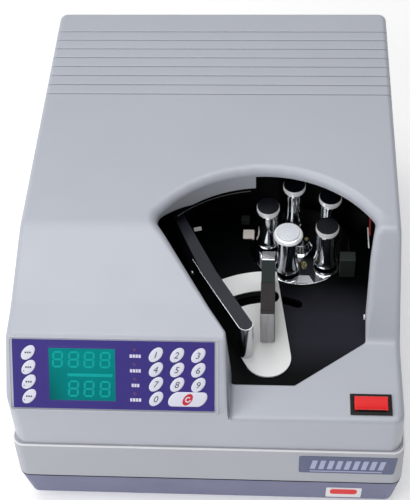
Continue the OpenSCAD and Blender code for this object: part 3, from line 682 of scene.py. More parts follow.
def cover_shell():
    mouth = mouth_outline()
    rolls = [roll_radius(p) for p in mouth]
    slit_left = [(wall_x(DECK_Z + 10), FRONT_TOP_Y), (wall_x(WALL_TOP_Z), MOUTH_FRONT_Y)]
    slit_right = [(WALL_X, MOUTH_FRONT_Y), (WALL_X, FRONT_TOP_Y)]
    outer = rectangle(-HALF_W, HALF_W, FRONT_TOP_Y, BODY_D, CORNER_R, 6)
    first = next(i for i, p in enumerate(outer) if p[0] > 0)
    around = outer[first:] + outer[:first]
    region = around + slit_left + mouth[1:-1] + slit_right

    points, edges = [], []

    def line(path, loop=False):
        base = len(points)
        points.extend(Vector(p) for p in path)
        last = len(path) if loop else len(path) - 1
        edges.extend((base + i, base + (i + 1) % len(path)) for i in range(last))

    line(region, True)
    for a in ROLL_STEPS[1:]:
        k = 1 - math.cos(a)
        line(offset_line(mouth, [r * k for r in rolls]))
        grow = TOP_ROLL * k
        line(rectangle(-HALF_W + grow, HALF_W - grow, FRONT_TOP_Y + grow, BODY_D - grow,
                       CORNER_R - grow, 6), True)
        line([(x - WALL_ROLL * k, y) for x, y in slit_left])
        line([(x + WALL_FILLET * k, y) for x, y in slit_right])
    creases = sorted({round(y, 3) for y, _ in LEFT_PROFILE[1:-1] + RIGHT_PROFILE[1:-1]})
    creases += [RIB_START + i * RIB_PITCH + o for i in range(RIB_COUNT) for o, _ in RIB_SECTION]
    for y in creases:
        line([(-HALF_W - 5, y), (HALF_W + 5, y)])
    flat, _, triangles, *_ = delaunay_2d_cdt(points, edges, [], 0, 1e-4)
    plan = np.array([tuple(p) for p in flat])
    centres = np.array([plan[list(t)].mean(0) for t in triangles])
    keep = inside(centres, region)
    triangles = [t for t, k in zip(triangles, keep) if k]

    mouth_gap, mouth_roll = edge_distance(plan, mouth, rolls)
    left_gap, _ = edge_distance(plan, slit_left, [0, 0])
    right_gap, _ = edge_distance(plan, slit_right, [0, 0])
    base_z = height(plan[:, 0], plan[:, 1])
    spots, out_ways, tops = [], [], []
    for i, p in enumerate(plan):
        way, depth = outward(p)
        lean = DRAFT * (BODY_H - base_z[i]) * max(0.0, 1 - depth / 14)
        q = Vector(p) + way * lean
        z = float(height(np.array([q.x]), np.array([q.y]))[0])
        drop = rolled(depth, FRONT_ROLL if way.y < -0.5 else TOP_ROLL)
        drop = max(drop, rolled(mouth_gap[i], mouth_roll[i]))
        if p[1] < MOUTH_FRONT_Y + 0.5:
            if p[0] < wall_x(WALL_MIDDLE_Z):
                drop = max(drop, rolled(left_gap[i], WALL_ROLL))
            else:
                drop -= rolled(right_gap[i], WALL_FILLET)
        spots.append(Vector((q.x, q.y, z - drop)))
        tops.append(z)
        out_ways.append((way, depth))
    return stitch(spots, triangles, out_ways, mouth_gap, tops)


def skirt_foot(p, top):
    """Height of the lower edge of the well's skirt under a point of its rim."""
    if p.y < 51 and p.x < 20:
        return FLOOR_Z + 0.5
    deep = SKIRT_SHALLOW
    if p.x < SKIRT_STEP_X:
        deep = float(np.interp(p.x, (-50, -18), (SKIRT_SHALLOW, SKIRT_DEEP)))
    return min(p.z - 1.0, max(top - deep, FLOOR_Z + 0.4))


def open_runs(edges):
    """The open runs that edges form, each from front to back, and the runs from left to right."""
    joined = {}
    for e in edges:
        a, b = e.verts
        joined.setdefault(a, []).append(b)
        joined.setdefault(b, []).append(a)
    runs = []
    for end in [v for v in joined if len(joined[v]) == 1]:
        run, ahead = [end], joined[end]
        while ahead:
            run.append(ahead[0])
            ahead = [v for v in joined[run[-1]] if v is not run[-2]]
        if run[0].co.y < run[-1].co.y:
            runs.append(run)
    return sorted(runs, key=lambda run: run[0].co.x)


def zip_faces(mesh, a, b):
    """Triangles between two runs of vertices, a running ahead of b from each equal y."""
    i = j = 0
    while i + 1 < len(a) or j + 1 < len(b):
        if i + 1 < len(a) and (j + 1 == len(b) or a[i].co.y < b[j].co.y + 0.001):
            mesh.faces.new([a[i], a[i + 1], b[j]])
            i += 1
        else:
            mesh.faces.new([a[i], b[j + 1], b[j]])
            j += 1


ON_LINE = 0.02
LAP = 0.5


def add_face(mesh, verts):
    """Adds a face unless the mesh has it already."""
    try:
        mesh.faces.new(verts)
    except ValueError:
        pass


def stitch(spots, triangles, out_ways, mouth_gap, tops):
    """Adds the side walls, the console's right wall and the well's skirt to the top skin."""
    mesh = bmesh.new()
    verts = [mesh.verts.new(p) for p in spots]
    for t in triangles:
        add_face(mesh, [verts[i] for i in t])
    bmesh.ops.delete(mesh, geom=[v for v in mesh.verts if not v.link_faces], context="VERTS")
    number = {v: i for i, v in enumerate(verts) if v.is_valid}
    rim = [e for e in mesh.edges if len(e.link_faces) == 1]
    dropped = {}

    def on_outline(v):
        return out_ways[number[v]][1] < ON_LINE

    def on_mouth(v):
        return mouth_gap[number[v]] < ON_LINE

    def below(v):
        i = number[v]
        what = "outer" if on_outline(v) else "mouth"
        if (v, what) not in dropped:
            p = v.co
            if what == "outer":
                way = out_ways[i][0] * DRAFT * (p.z - SEAM_Z - LAP)
                spot = Vector((p.x + way.x, p.y + way.y, SEAM_Z + LAP))
            else:
                foot = skirt_foot(p, tops[i])
                lean = WALL_LEAN * (p.z - foot) if p.y < 51 and p.x < 20 else 0
                spot = Vector((p.x + lean, p.y, foot))
            dropped[(v, what)] = mesh.verts.new(spot)
        return dropped[(v, what)]

    slit_edges = []
    for e in rim:
        a, b = e.verts
        if (on_outline(a) and on_outline(b)) or (on_mouth(a) and on_mouth(b)):
            add_face(mesh, [a, b, below(b), below(a)])
        else:
            slit_edges.append(e)
    console_side, deck_side = open_runs(slit_edges)
    zip_faces(mesh, console_side, deck_side)
    for end, what in ((0, "outer"), (-1, "mouth")):
        a, b = console_side[end], deck_side[end]
        mesh.faces.new([a, b, dropped[(b, what)], dropped[(a, what)]])
    bmesh.ops.remove_doubles(mesh, verts=mesh.verts, dist=0.004)
    bmesh.ops.recalc_face_normals(mesh, faces=mesh.faces)
    highest = max(mesh.faces, key=lambda f: f.calc_center_median().z)
    if highest.normal.z < 0:
        bmesh.ops.reverse_faces(mesh, faces=mesh.faces)
    front = {f for f in mesh.faces if f.normal.y < -0.99}
    shared = [e for e in mesh.edges if len(e.link_faces) == 2 and front.issuperset(e.link_faces)]
    bmesh.ops.dissolve_limit(mesh, angle_limit=math.radians(3), edges=shared, verts=[])
    mesh.verts.index_update()
    shape = ([tuple(v.co) for v in mesh.verts], [tuple(v.index for v in f.verts)
                                                  for f in mesh.faces])
    mesh.free()
    return shape


def rear_slots():
    """Two banks of nine slots through the back wall."""
    angle = math.pi / 2 + FRONT_ANGLE
    c, k = math.cos(angle), math.sin(angle)
    back = BODY_D + DRAFT * (BODY_H - SEAM_Z)

    def on_back(x, v, n):
        return (x, back + v * c + n * k, SEAM_Z + v * k - n * c)

    slots = [framed(prism(rectangle(x - 1.5, x + 1.5, 55, 89, 1.4, 3), -9, 9), on_back)
             for side in (-1, 1) for x in (side * 78 + (i - 4) * 8 for i in range(9))]
    holes = [framed(lathe([(2.2, -9), (2.2, 9)], 20, (side * x, 14)), on_back)
             for side in (-1, 1) for x in (60, 148)]
    return merged(*slots, *holes)


def build_cover():
    points, faces = cover_shell()
    obj = new_object("cover_shell", [at(*p) for p in points], faces)
    obj.data.materials.append(M["cover"])
    thick = obj.modifiers.new("thickness", "SOLIDIFY")
    thick.thickness = SHELL_T * MM
    thick.offset = -1
    baked(obj)
    display_hole = framed(slab(-128.4, -74.8, 9.7, 52.9, -6, 3), on_console)
    switch_hole = slab(124.2, 154.6, 10.3, 25.7, 130, 150)
    cut(obj, merged(rear_slots(), display_hole, switch_hole))
    dress(obj)
    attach(obj, "root")
    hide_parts("upper_cover")


# ---------------------------------------------------------------- lower casing and base

def drafted_ring(z, grow, back, r):
    """Rounded rectangle of the outline at height z, grown outwards by grow, and at the back by
    back."""
    lean = DRAFT * (BODY_H - z)
    return [(x, y, z) for x, y in rectangle(
        -HALF_W - lean - grow, HALF_W + lean + grow, FRONT_TOP_Y - lean - grow,
        BODY_D + lean + back, r, 8)]


def casing_wall(levels):
    """A closed band whose section runs through (grow, z) levels and back to the first."""
    return band([drafted_ring(z, grow, grow, CORNER_R + grow) for grow, z in levels])


def rounded_edge(grow, z, r, down, steps=4):
    """Points of a quarter round between a wall and the face above or below it."""
    turn = -1 if down else 1
    angles = [math.radians(90 * i / steps) for i in range(steps + 1)]
    return [(grow - r + r * math.cos(a), z - turn * r + turn * r * math.sin(a))
            for a in angles]


GROOVE_H, GROOVE_DEPTH = 2.4, 0.5
LIP_W = 1.4


def build_lower_casing():
    foot = BASE_H + GROOVE_H
    inside_wall = LEDGE - 4
    top = rounded_edge(LEDGE, SEAM_Z, 1.6, False)
    bottom = rounded_edge(LEDGE, foot, 0.6, True)[::-1]
    levels = bottom + top + [(inside_wall, SEAM_Z), (inside_wall, foot)]
    piece("casing_band", casing_wall(levels), "casing",
          stands_for=("lower_casing",))
    # the band in the gap under the casing is painted near-black as shade
    groove = LEDGE - GROOVE_DEPTH
    levels = [(groove, BASE_H + 0.3), (groove, foot + 0.1), (inside_wall, foot + 0.1),
              (inside_wall, BASE_H + 0.3)]
    piece("casing_gap_painted_shade", casing_wall(levels), "groove")
    # the lip's near-white glowing colour is a painted highlight along the seam
    lip = rounded_edge(LEDGE, SEAM_Z + 0.15, 0.9, False)
    levels = lip + [(LEDGE - LIP_W, SEAM_Z + 0.15), (LEDGE - LIP_W, SEAM_Z - 0.75)]
    piece("casing_lip_painted_highlight", casing_wall(levels), "lip_highlight")


# The pan tapers from its top edge to a low shoulder and is undercut below that; its back is
# upright for the inlet.
PAN_TOP_GROW, PAN_SHOULDER_GROW, PAN_FOOT_GROW = 1.5, -4.0, -11.5
PAN_TOP_Z, PAN_SHOULDER_Z, PAN_T = BASE_H + 0.4, 8.5, 3.0


def build_base():
    back = LEDGE - BASE_INSET
    outer = [(PAN_FOOT_GROW, 0.0), (PAN_SHOULDER_GROW - 0.5, PAN_SHOULDER_Z - 0.6),
             (PAN_SHOULDER_GROW, PAN_SHOULDER_Z), (PAN_TOP_GROW, PAN_TOP_Z)]
    inner = [(PAN_TOP_GROW - PAN_T, PAN_TOP_Z), (PAN_FOOT_GROW - PAN_T, PAN_T)]
    rings = ([drafted_ring(z, grow, back, CORNER_R) for grow, z in outer]
             + [drafted_ring(z, grow, back - PAN_T, CORNER_R) for grow, z in inner])
    obj = piece("base_shell", rings_solid(rings), "base",
                stands_for=("base_pan",))
    obj.modifiers.clear()
    inlet_hole = slab(-118.8, -91.2, BODY_D - 12, BODY_D + 25, 12.8, 33.2)
    cut(obj, inlet_hole)
    dress(obj)


# ---------------------------------------------------------------- CAD nodes' surfaces

CAD_FINISH = {
    "rubber_feet": ("rubber", 0.8), "case_screws": ("screw", 0.4), "well_liner": ("liner", 0.4),
    "deck_plate": ("deck", 0.3), "console_overlay": ("overlay", 0.12),
    "display_window": ("window", 0.15), "display_module": ("dark", 0.2),
    "status_lamps": ("lamp", 0.25), "panel_board": ("board", 0.0), "name_plate": ("plate", 0.2),
    "support_frame": ("frame", 0.3), "drive_motor": ("motor", 0.5), "drive_belt": ("belt", 0.2),
    "vacuum_pump": ("pump", 0.8), "vacuum_hose": ("hose", 0.0), "sun_gear": ("brass", 0.0),
    "turret_bearing": ("frame", 0.3), "power_supply": ("supply", 0.4),
    "power_inlet": ("switch", 0.4), "control_board": ("board", 0.0),
    "sensor_block": ("sensor", 0.7), "pivot_pin": ("screw", 0.2), "switch_bezel": ("switch", 0.5),
    "power_rocker": ("rocker", 0.7), "motor_pulley": ("frame", 0.2),
    "turret_table": ("chrome", 0.4), "swing_plate": ("white", 0.3), "rest_jaw": ("jaw", 0.5),
    "jaw_wrap": ("steel", 0.15), "clamp_arm": ("arm", 0.3), "clamp_finger": ("finger", 0.5),
    "finger_tip": ("steel", 0.8),
}


def dress_cad_nodes():
    for name, (material, bevel) in CAD_FINISH.items():
        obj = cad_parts[name]
        obj.data.materials.clear()
        obj.data.materials.append(M[material])
        dress(obj, bevel, weld=True)


# ---------------------------------------------------------------- keys

KEY_HALF_W, KEY_HALF_H, KEY_LEAN = 5.3, 6.3, 2.7
KEY_TOP, KEY_BOTTOM = 1.5, -3.0
KEY_DOME = ((1.0, KEY_BOTTOM), (1.0, 0.95), (0.975, 1.15), (0.93, 1.27), (0.82, 1.37),
            (0.62, 1.45), (0.35, KEY_TOP - 0.02), (0.1, KEY_TOP))
CLEAR_HALF_L = 10.4
PRINT_LOW, PRINT_TOP = 1.30, 1.54


def console_spot(node):
    """Where a node's centre lies across and up the console."""
    p = middle(node)
    c, k = math.cos(CONSOLE_ANGLE), math.sin(CONSOLE_ANGLE)
    return p.x, (p.y - CONSOLE_FOOT[0]) * c + (p.z - CONSOLE_FOOT[1]) * k


def leaning_oval(half_l, scale=1.0, steps=48):
    out = []
    for i in range(steps):
        a = 2 * math.pi * (i + 0.5) / steps
        shift = half_l if math.cos(a) > 0 else -half_l
        out.append((shift * (0.6 + 0.4 * scale)
                    + scale * (KEY_HALF_W * math.cos(a) + KEY_LEAN * math.sin(a)),
                    scale * KEY_HALF_H * math.sin(a)))
    return out


def domed_key(x, s, half_l):
    rings = [[(x + a, s + b, n) for a, b in leaning_oval(half_l, scale)]
             for scale, n in KEY_DOME]
    return rings_solid(rings)


def in_fixed_order(mesh):
    """A mesh's (points, faces), sorted, as extruding leaves them in a different order each run."""
    verts = sorted(mesh.verts, key=lambda v: tuple(v.co))
    index = {v: i for i, v in enumerate(verts)}
    faces = []
    for f in mesh.faces:
        ring = [index[v] for v in f.verts]
        first = ring.index(min(ring))
        faces.append(tuple(ring[first:] + ring[:first]))
    return [tuple(v.co) for v in verts], sorted(faces)


def numeral(figure, x, s, size, low, high, lean=0.22):
    """A single figure as a thin raised solid, from Blender's own plain typeface."""
    curve = bpy.data.curves.new("figure", "FONT")
    curve.body = figure
    curve.size = size
    curve.align_x = "CENTER"
    curve.resolution_u = 3
    holder = bpy.data.objects.new("figure", curve)
    bpy.context.scene.collection.objects.link(holder)
    graph = bpy.context.evaluated_depsgraph_get()
    flat = bpy.data.meshes.new_from_object(holder.evaluated_get(graph))
    bpy.data.objects.remove(holder)
    shell = bmesh.new()
    shell.from_mesh(flat)
    ys = [v.co.y for v in shell.verts]
    mid = (min(ys) + max(ys)) / 2
    for v in shell.verts:
        v.co.x += lean * (v.co.y - mid) + x
        v.co.y += s - mid
        v.co.z = high
    bmesh.ops.remove_doubles(shell, verts=shell.verts, dist=0.01)
    made = bmesh.ops.extrude_face_region(shell, geom=shell.faces[:])
    for v in made["geom"]:
        if isinstance(v, bmesh.types.BMVert):
            v.co.z = low
    shape = in_fixed_order(shell)
    shell.free()
    bpy.data.meshes.remove(flat)
    return shape


def key_piece(name, shape, material, node, stands_for=()):
    piece(name, shape, material, node, stands_for, on_console)


def build_keys():
    for i in range(10):
        node = f"key_{i}"
        x, s = console_spot(node)
        key_piece(f"{node}_cap", domed_key(x, s, 0), "key", node, (node,))
        key_piece(f"{node}_figure", numeral(str(i), x, s, 7.8, PRINT_LOW, PRINT_TOP, 0.32), "ink",
                  node)
    x, s = console_spot("key_clear")
    key_piece("key_clear_cap", domed_key(x, s, CLEAR_HALF_L), "key", "key_clear", ("key_clear",))
    oval = [(x + 0.74 * a, s + 0.80 * b) for a, b in leaning_oval(0)]
    key_piece("key_clear_badge", prism(oval, PRINT_LOW, 1.53), "red", "key_clear")
    key_piece("key_clear_ring", open_ring(x + 0.3, s, 2.5, 1.5, 1.48, 1.56), "print", "key_clear")
    for i in range(1, 5):
        node = f"key_f{i}"
        x, s = console_spot(node)
        key_piece(f"{node}_cap", domed_key(x, s, 0), "key", node, (node,))
        marks = [slab(x - 2.6 + 1.9 * j, x - 1.3 + 1.9 * j, s - 0.5, s + 0.9, PRINT_LOW, PRINT_TOP)
                 for j in range(3)]
        if i > 1:
            marks.append(prism(rectangle(x - 4.4, x - 3.2, s - 3.6, s - 2.4, 0.55), 1.0, 1.44))
        key_piece(f"{node}_marks", merged(*marks), "ink", node)


def open_ring(x, s, r_out, r_in, low, high, gap=55, steps=28):
    """A ring with a gap at its upper right, as a reset sign."""
    angles = [math.radians(gap / 2 + 20 + (360 - gap) * i / steps) for i in range(steps + 1)]
    loop = ([(x + r_out * math.cos(a) + 0.2 * r_out * math.sin(a), s + r_out * math.sin(a))
             for a in angles]
            + [(x + r_in * math.cos(a) + 0.2 * r_in * math.sin(a), s + r_in * math.sin(a))
               for a in reversed(angles)])
    return prism(loop, low, high)


# ---------------------------------------------------------------- display and panel print

FACE_N = 0.8
FACE_LOW, FACE_TOP = FACE_N - 0.2, FACE_N + 0.06


def bar(x0, y0, x1, y1, w):
    """A six-sided display segment between two points."""
    a, b = Vector((x0, y0)), Vector((x1, y1))
    way = (b - a).normalized()
    side = Vector((-way.y, way.x)) * w / 2
    tip = way * w / 2
    return [tuple(p) for p in (a, a + tip + side, b - tip + side, b, b - tip - side,
                               a + tip - side)]


def figure_eight(x, s, w, h, stroke, low, high, lean=0.06):
    """All seven segments of one display digit centred on x, s."""
    g = 0.3
    l, r, t, m, b = -w / 2, w / 2, h / 2, 0, -h / 2
    spans = [(l + g, t, r - g, t), (l + g, m, r - g, m), (l + g, b, r - g, b),
             (l, m + g, l, t - g), (r, m + g, r, t - g), (l, b + g, l, m - g),
             (r, b + g, r, m - g)]
    return merged(*(prism([(x + px + lean * py, s + py) for px, py in bar(*span, stroke)],
                          low, high) for span in spans))


def panel_piece(name, shape, material):
    piece(name, shape, material, "root", (), on_console)


def build_display():
    for row, (xs, s) in {"upper": ((-121.9, -108.5, -95.5, -82.1), 44.2),
                         "lower": ((-109.0, -96.0, -82.5), 19.0)}.items():
        for i, x in enumerate(xs):
            digit = figure_eight(x, s, 7.4, 12.6, 1.6, FACE_LOW, FACE_TOP)
            panel_piece(f"digit_{row}_{i + 1}", digit, "digit")
    panel_piece("display_divider", slab(-113.8, -76.1, 29.6, 32.2, FACE_LOW, FACE_TOP, 0.5),
                "digit")
    lo_x, hi_x, lo_s, hi_s = -129.7, -73.5, 8.4, 54.2
    rings = []
    for grow, n in ((1.5, FACE_N), (1.3, FACE_N + 0.1), (0.2, FACE_N + 0.1), (0.0, FACE_N),
                    (0.0, FACE_N - 0.4), (1.5, FACE_N - 0.4)):
        rings.append([(x, s, n) for x, s in rectangle(lo_x - grow + 0.4, hi_x + grow - 0.4,
                                                      lo_s - grow + 0.4, hi_s + grow - 0.4)])
    panel_piece("display_frame", band(rings), "overlay")


def build_panel_print():
    """A row of short bars beside each status lamp, in place of its words."""
    middle_x, top_s, pitch, gap = -57.0, 48.1, 12.65, 0.5
    for i, widths in enumerate(((2.0, 1.9, 1.9, 1.9), (1.9, 1.9, 1.7, 2.0), (1.8, 1.8, 1.8),
                                (1.8, 2.0, 1.9, 2.0))):
        s = top_s - pitch * i
        across = sum(widths) + gap * (len(widths) - 1)
        left, marks = middle_x - across / 2, []
        for w in widths:
            marks.append(slab(left, left + w, s - 1.4, s + 1.4, FACE_LOW, FACE_TOP))
            left += w + gap
        panel_piece(f"status_bar_{i + 1}", merged(*marks), "print")


def build_panel_rim():
    """The slim raised edge of the console's face round the overlay."""
    lo, hi = (-163.2, -1.6), (12.4, 63.0)
    rings = [[(x, s, n) for x, s in rectangle(lo[0] + g, hi[0] - g, lo[1] + g, hi[1] - g, 3 - g)]
             for g, n in ((0, -0.4), (0, 0.05), (0.35, 0.38), (0.9, 0.38), (1.3, 0.05),
                          (1.3, -0.4))]
    panel_piece("console_rim", band(rings), "cover")


# ---------------------------------------------------------------- front marks and switch

PLATE_OUTLINE = ((80.3, -33.8), (80.3, -6.4), (165.5, -7.0), (163.9, -34.2))


def on_plate(x, v, n):
    """On the casing's front face, following it round the right-hand corner."""
    r = CORNER_R + LEDGE
    past = max(0.0, x - (HALF_W + LEDGE + FRONT_TOP_Y - r))
    fx, fy, fz = on_front(x, v, n)
    return (fx, fy + r - math.sqrt(r * r - past * past), fz)


def rounded_plate(corners, r, low, high, step=3.0):
    """A plate with rounded corners, cut into strips across x so that it can be bent."""
    (x0, b0), (_, t0), (x1, t1), (x2, b1) = corners
    wide = max(x1, x2) - x0
    stations = [x0 + r * (1 - math.cos(math.radians(a))) for a in (0, 30, 60, 90)]
    stations += list(np.arange(x0 + r + step, x1 - r - 2.2, step))
    stations += [x1 - r * (1 - math.cos(math.radians(a))) for a in (90, 60, 30, 0)]
    rings = []
    for x in stations:
        t = (x - x0) / wide
        top, foot = t0 + (t1 - t0) * t, b0 + (b1 - b0) * t
        inset = r - math.sqrt(max(0.0, r * r - max(0.0, r - (x - x0), r - (x1 - x)) ** 2))
        top, foot = top - inset, foot + inset
        slant = (x1 - x2) * max(0.0, (x - x1 + 12) / 12)
        rings.append([(x - slant, foot, low), (x, top, low), (x, top, high),
                      (x - slant, foot, high)])
    return rings_solid(rings)


def build_front_marks():
    n0, n1 = 0.15, 0.5
    piece("name_plate_face", rounded_plate(PLATE_OUTLINE, 2.4, -0.6, 0.25), "plate", "root",
          ("name_plate",), on_plate)
    bars = []
    for i in range(9):
        x = 90 + 7.4 * i
        bars.append(prism([(x, -27), (x + 4.4, -27), (x + 6.6, -13), (x + 2.2, -13)], n0, n1))
    bars.append(slab(90, 153, -31.4, -29.8, n0, n1))
    piece("name_plate_bars", merged(*bars), "pale", "root", (), on_plate)

    def on_base(x, z, n):
        grow = float(np.interp(z, (PAN_SHOULDER_Z, PAN_TOP_Z), (PAN_SHOULDER_GROW, PAN_TOP_GROW)))
        return (x, DRAFT * (z - SEAM_Z) - grow - n, z)

    piece("base_label", slab(106, 138, 12, 34, -0.3, 0.25, 1.5), "label", "root",
          (), on_base)
    # the red mark shares the rocker's painted glow and edge highlight
    piece("base_label_mark", slab(109.6, 134, 19.5, 31, 0.1, 0.4, 3.5), "rocker", "root",
          (), on_base)


def build_rocker_shade():
    """The rocker's front slope, which turns away from the light; its dark red is painted shade."""
    c = middle("power_rocker")
    tilt = math.radians(8)
    half_w, front, back = 11.9, -6.6, -4.4

    def on_rocker(v, n, x):
        y = v * math.cos(tilt) - n * math.sin(tilt)
        z = v * math.sin(tilt) + n * math.cos(tilt)
        return (c.x + x, 18 + y, DECK_Z + z)

    def face(v):
        return 3.66 + 1.4 * abs(v) / 6.2

    slope = [(front, 0), (back, 0), (back, face(back)), (front, face(front) - 0.5)]
    piece("rocker_shade", prism(slope, -half_w, half_w), "rocker_painted_shade", "rocker",
          (), on_rocker, bevel=0.2)


# ---------------------------------------------------------------- turret

COLLAR_Z = 142.7
CAP_Z = 185.0
SPINDLE_PROFILE = ((0.01, 0), (10.5, 0), (11, 0.5), (11, 2.7), (10.7, 3.4), (10.2, 4.6),
                   (9.7, 7.5), (9.35, 11.5), (9.1, 16.5), (9.05, 39.4), (9.15, 40.6), (9.4, 41.6),
                   (9.5, 42.3), (0.01, 42.3))
CAP_PROFILE = ((0.01, 0), (9.3, 0), (9.3, 1.6), (10.0, 1.9), (10.35, 2.4), (10.4, 3.0),
               (10.3, 6.3), (10.1, 6.7), (0.01, 6.7))
INSERT_PROFILE = ((0.01, 6.5), (9.9, 6.5), (10.0, 7.1), (9.8, 7.4), (9.2, 7.6), (0.01, 7.7))
WIDE_CAP_PROFILE = ((0.01, 0), (9.3, 0), (9.3, 1.2), (12.2, 1.8), (13.0, 2.4), (13.2, 3.1),
                    (13.0, 3.9), (12.0, 5.6), (11.2, 6.0), (10.4, 6.0), (10.2, 5.6),
                    (0.01, 5.6))
WIDE_INSERT_PROFILE = ((0.01, 5.4), (10.2, 5.4), (10.25, 6.9), (10.0, 7.3), (9.4, 7.5),
                       (0.01, 7.7))
WIDE_CAP = 5
PINION_TEETH, PINION_R = 16, 10.17
TOOTH = ((-0.24, -1.3), (-0.1, 0.8), (0.1, 0.8), (0.24, -1.3))


def build_spindles():
    for k in range(1, 6):
        c = SPINDLES[k - 1]
        body, node, cap = f"spindle_{k}", f"spindle_{k}", f"spindle_cap_{k}"
        centre = (c.x, c.y)
        turn = math.radians(180 / PINION_TEETH) + 3 * math.atan2(c.y - TURRET.y, c.x - TURRET.x)
        gear = [(c.x + (PINION_R + out) * math.cos(turn + (i + off) * 2 * math.pi / PINION_TEETH),
                 c.y + (PINION_R + out) * math.sin(turn + (i + off) * 2 * math.pi / PINION_TEETH))
                for i in range(PINION_TEETH) for off, out in TOOTH]
        shaft = lathe([(0.01, 118), (4, 118), (4, COLLAR_Z), (0.01, COLLAR_Z)], 32, centre)
        post = moved(lathe(SPINDLE_PROFILE, 64, centre), dz=COLLAR_Z)
        piece(f"{node}_post", merged(shaft, post), "chrome", body, (node,))
        piece(f"{node}_pinion", prism(gear, 120, 129), "brass", body)
        # the cap tops' dark and light colours are painted reflections
        shell, insert, top_reflection = CAP_PROFILE, INSERT_PROFILE, "dark_reflection_top"
        if k == WIDE_CAP:
            shell, insert, top_reflection = WIDE_CAP_PROFILE, WIDE_INSERT_PROFILE, "light_reflection_top"
        piece(f"{cap}_shell", moved(lathe(shell, 64, centre), dz=CAP_Z), "cap", body,
              (cap,))
        piece(f"{cap}_insert", moved(lathe(insert, 48, centre), dz=CAP_Z), top_reflection, body)


def hex_fitting(x, y, z, size):
    lower = prism([(x + size * math.cos(math.radians(60 * i)),
                    y + size * math.sin(math.radians(60 * i))) for i in range(6)], z, z + 2.4)
    upper = lathe([(0.01, z + 2.3), (size * 0.62, z + 2.3), (size * 0.62, z + 3.8),
                   (size * 0.4, z + 4.4), (0.01, z + 4.4)], 24, (x, y))
    return merged(lower, upper)


def build_turret_details():
    z = FLOOR_Z
    piece("turret_fitting_1", hex_fitting(86.3, 196, z + 5, 2.8), "brass", "turret",
          bevel=0.3)
    piece("turret_fitting_2", hex_fitting(83.9, 171, z, 2.8), "brass", "turret",
          bevel=0.3)
    # a thin pale wedge painted as the chrome hub's reflection
    wedge = prism([(79.2, 158.4), (88.6, 158.4), (93.0, 149.8), (76.6, 149.4)], z - 0.5, z + 0.15)
    piece("turret_reflection_wedge", wedge, "chrome_reflection", "turret", bevel=0.05)


# ---------------------------------------------------------------- well details

EDGE_WIRE_R, EDGE_WIRE_Z = 113.5, 196.0
JAW_SIDE = 22.6


def build_well_details():
    floor = FLOOR_Z
    # the pad's glow is painted light
    piece("floor_pad", slab(26.6, 37.2, 201.3, 212.0, floor - 0.2, floor + 1.3, 0.8), "pad",
          "root", bevel=0.3)
    piece("floor_block", slab(24.5, 32.5, 219, 225, floor - 0.2, floor + 7, 0.8), "sensor",
          "root", bevel=0.4)
    turn = math.radians(14)
    tag = [(-17 + a * math.cos(turn) - b * math.sin(turn),
            212.6 + a * math.sin(turn) + b * math.cos(turn))
           for a, b in rectangle(-3.6, 3.6, -2.0, 2.0, 0.4)]
    # the tag, clip and wire glow as painted light
    piece("floor_tag", prism(tag, floor - 0.2, floor + 1.3), "tag", "root",
          bevel=0.3)
    piece("side_clip", slab(136.6, 137.9, 108.4, 111.8, 140.4, 144.2, 0.3), "tag", "root",
          bevel=0.3)
    wire = [(142.8, 177 + 3 * i, 158 + 0.4 * math.sin(i)) for i in range(9)]
    piece("side_wire", tube_path(wire, 0.6), "tag", "root")
    sleeve = [(143.6, 186 + 3 * i, 165 + 3.4 * i) for i in range(9)]
    piece("side_wire_sleeve", tube_path(sleeve, 0.8), "wire", "root")
    edge = [(RIM_CENTRE.x + EDGE_WIRE_R * math.cos(math.radians(a)),
             RIM_CENTRE.y + EDGE_WIRE_R * math.sin(math.radians(a)), EDGE_WIRE_Z)
            for a in np.linspace(134, 97, 36)]
    piece("liner_edge_wire", tube_path(edge, 0.35, 8), "frame", "root")
    along = math.radians(118.8)
    way = Vector((math.cos(along), math.sin(along), 0))
    left = Vector((-math.sin(along), math.cos(along), 0))
    pivot = Vector((PIVOT.x, PIVOT.y, 0))

    def on_jaw_side(x, y, z):
        return tuple(pivot + way * x + left * (JAW_SIDE + z) + Vector((0, 0, y)))

    screw = lathe([(0.01, 0), (2.7, 0), (2.6, 0.9), (1.9, 1.6), (0.8, 1.9), (0.01, 1.95)], 24)
    piece("jaw_screw", moved(screw, 101.3, 160.2), "screw", "carriage", (),
          on_jaw_side)


def build_finger_details():
    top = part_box("clamp_finger")[1].z / MM - FOOT_H
    low = top - 41.5
    x0, x1 = PIVOT.x - 6, PIVOT.x + 6
    for i, y in enumerate((85.2, 115.2)):
        piece(f"finger_joint_{i + 1}", slab(x0 - 0.2, x1 + 0.2, y - 0.45, y + 0.45, low,
                                            top + 0.2), "switch", "clamp")
    piece("finger_sleeve", slab(x0 - 0.12, x1 + 0.12, 81.65, 115.2, low, top + 0.12), "sleeve",
          "clamp", bevel=0.15)
    piece("finger_face", slab(x0 + 0.3, x1 - 0.3, 81.1, 81.7, low + 0.3, top - 0.4),
          "finger_face", "clamp", bevel=0.15)


dress_cad_nodes()
build_cover()
build_lower_casing()
build_base()
build_keys()
build_display()
build_panel_print()
build_panel_rim()
build_front_marks()
build_rocker_shade()
build_spindles()
build_turret_details()
build_well_details()
build_finger_details()


# ---------------------------------------------------------------- stage

FLOOR_GLOW = 0.34


def floor_sheet(name, half, steps, colour):
    points = [(-half + 2 * half * i / steps, -half + 2 * half * j / steps, 0.0)
              for j in range(steps + 1) for i in range(steps + 1)]
    faces = [(j * (steps + 1) + i, j * (steps + 1) + i + 1, (j + 1) * (steps + 1) + i + 1,
              (j + 1) * (steps + 1) + i) for j in range(steps) for i in range(steps)]
    obj = new_object(name, points, faces)
    net = Net(name)
    tone = net.mix(net.spread(net.noise(4.0), 0, 1), scaled(colour, 0.985), colour)
    net.join(tone, net.shader.inputs["Base Color"])
    net.shader.inputs["Roughness"].default_value = 0.7
    net.shader.inputs["Emission Color"].default_value = colour
    net.shader.inputs["Emission Strength"].default_value = FLOOR_GLOW
    obj.data.materials.append(net.material)


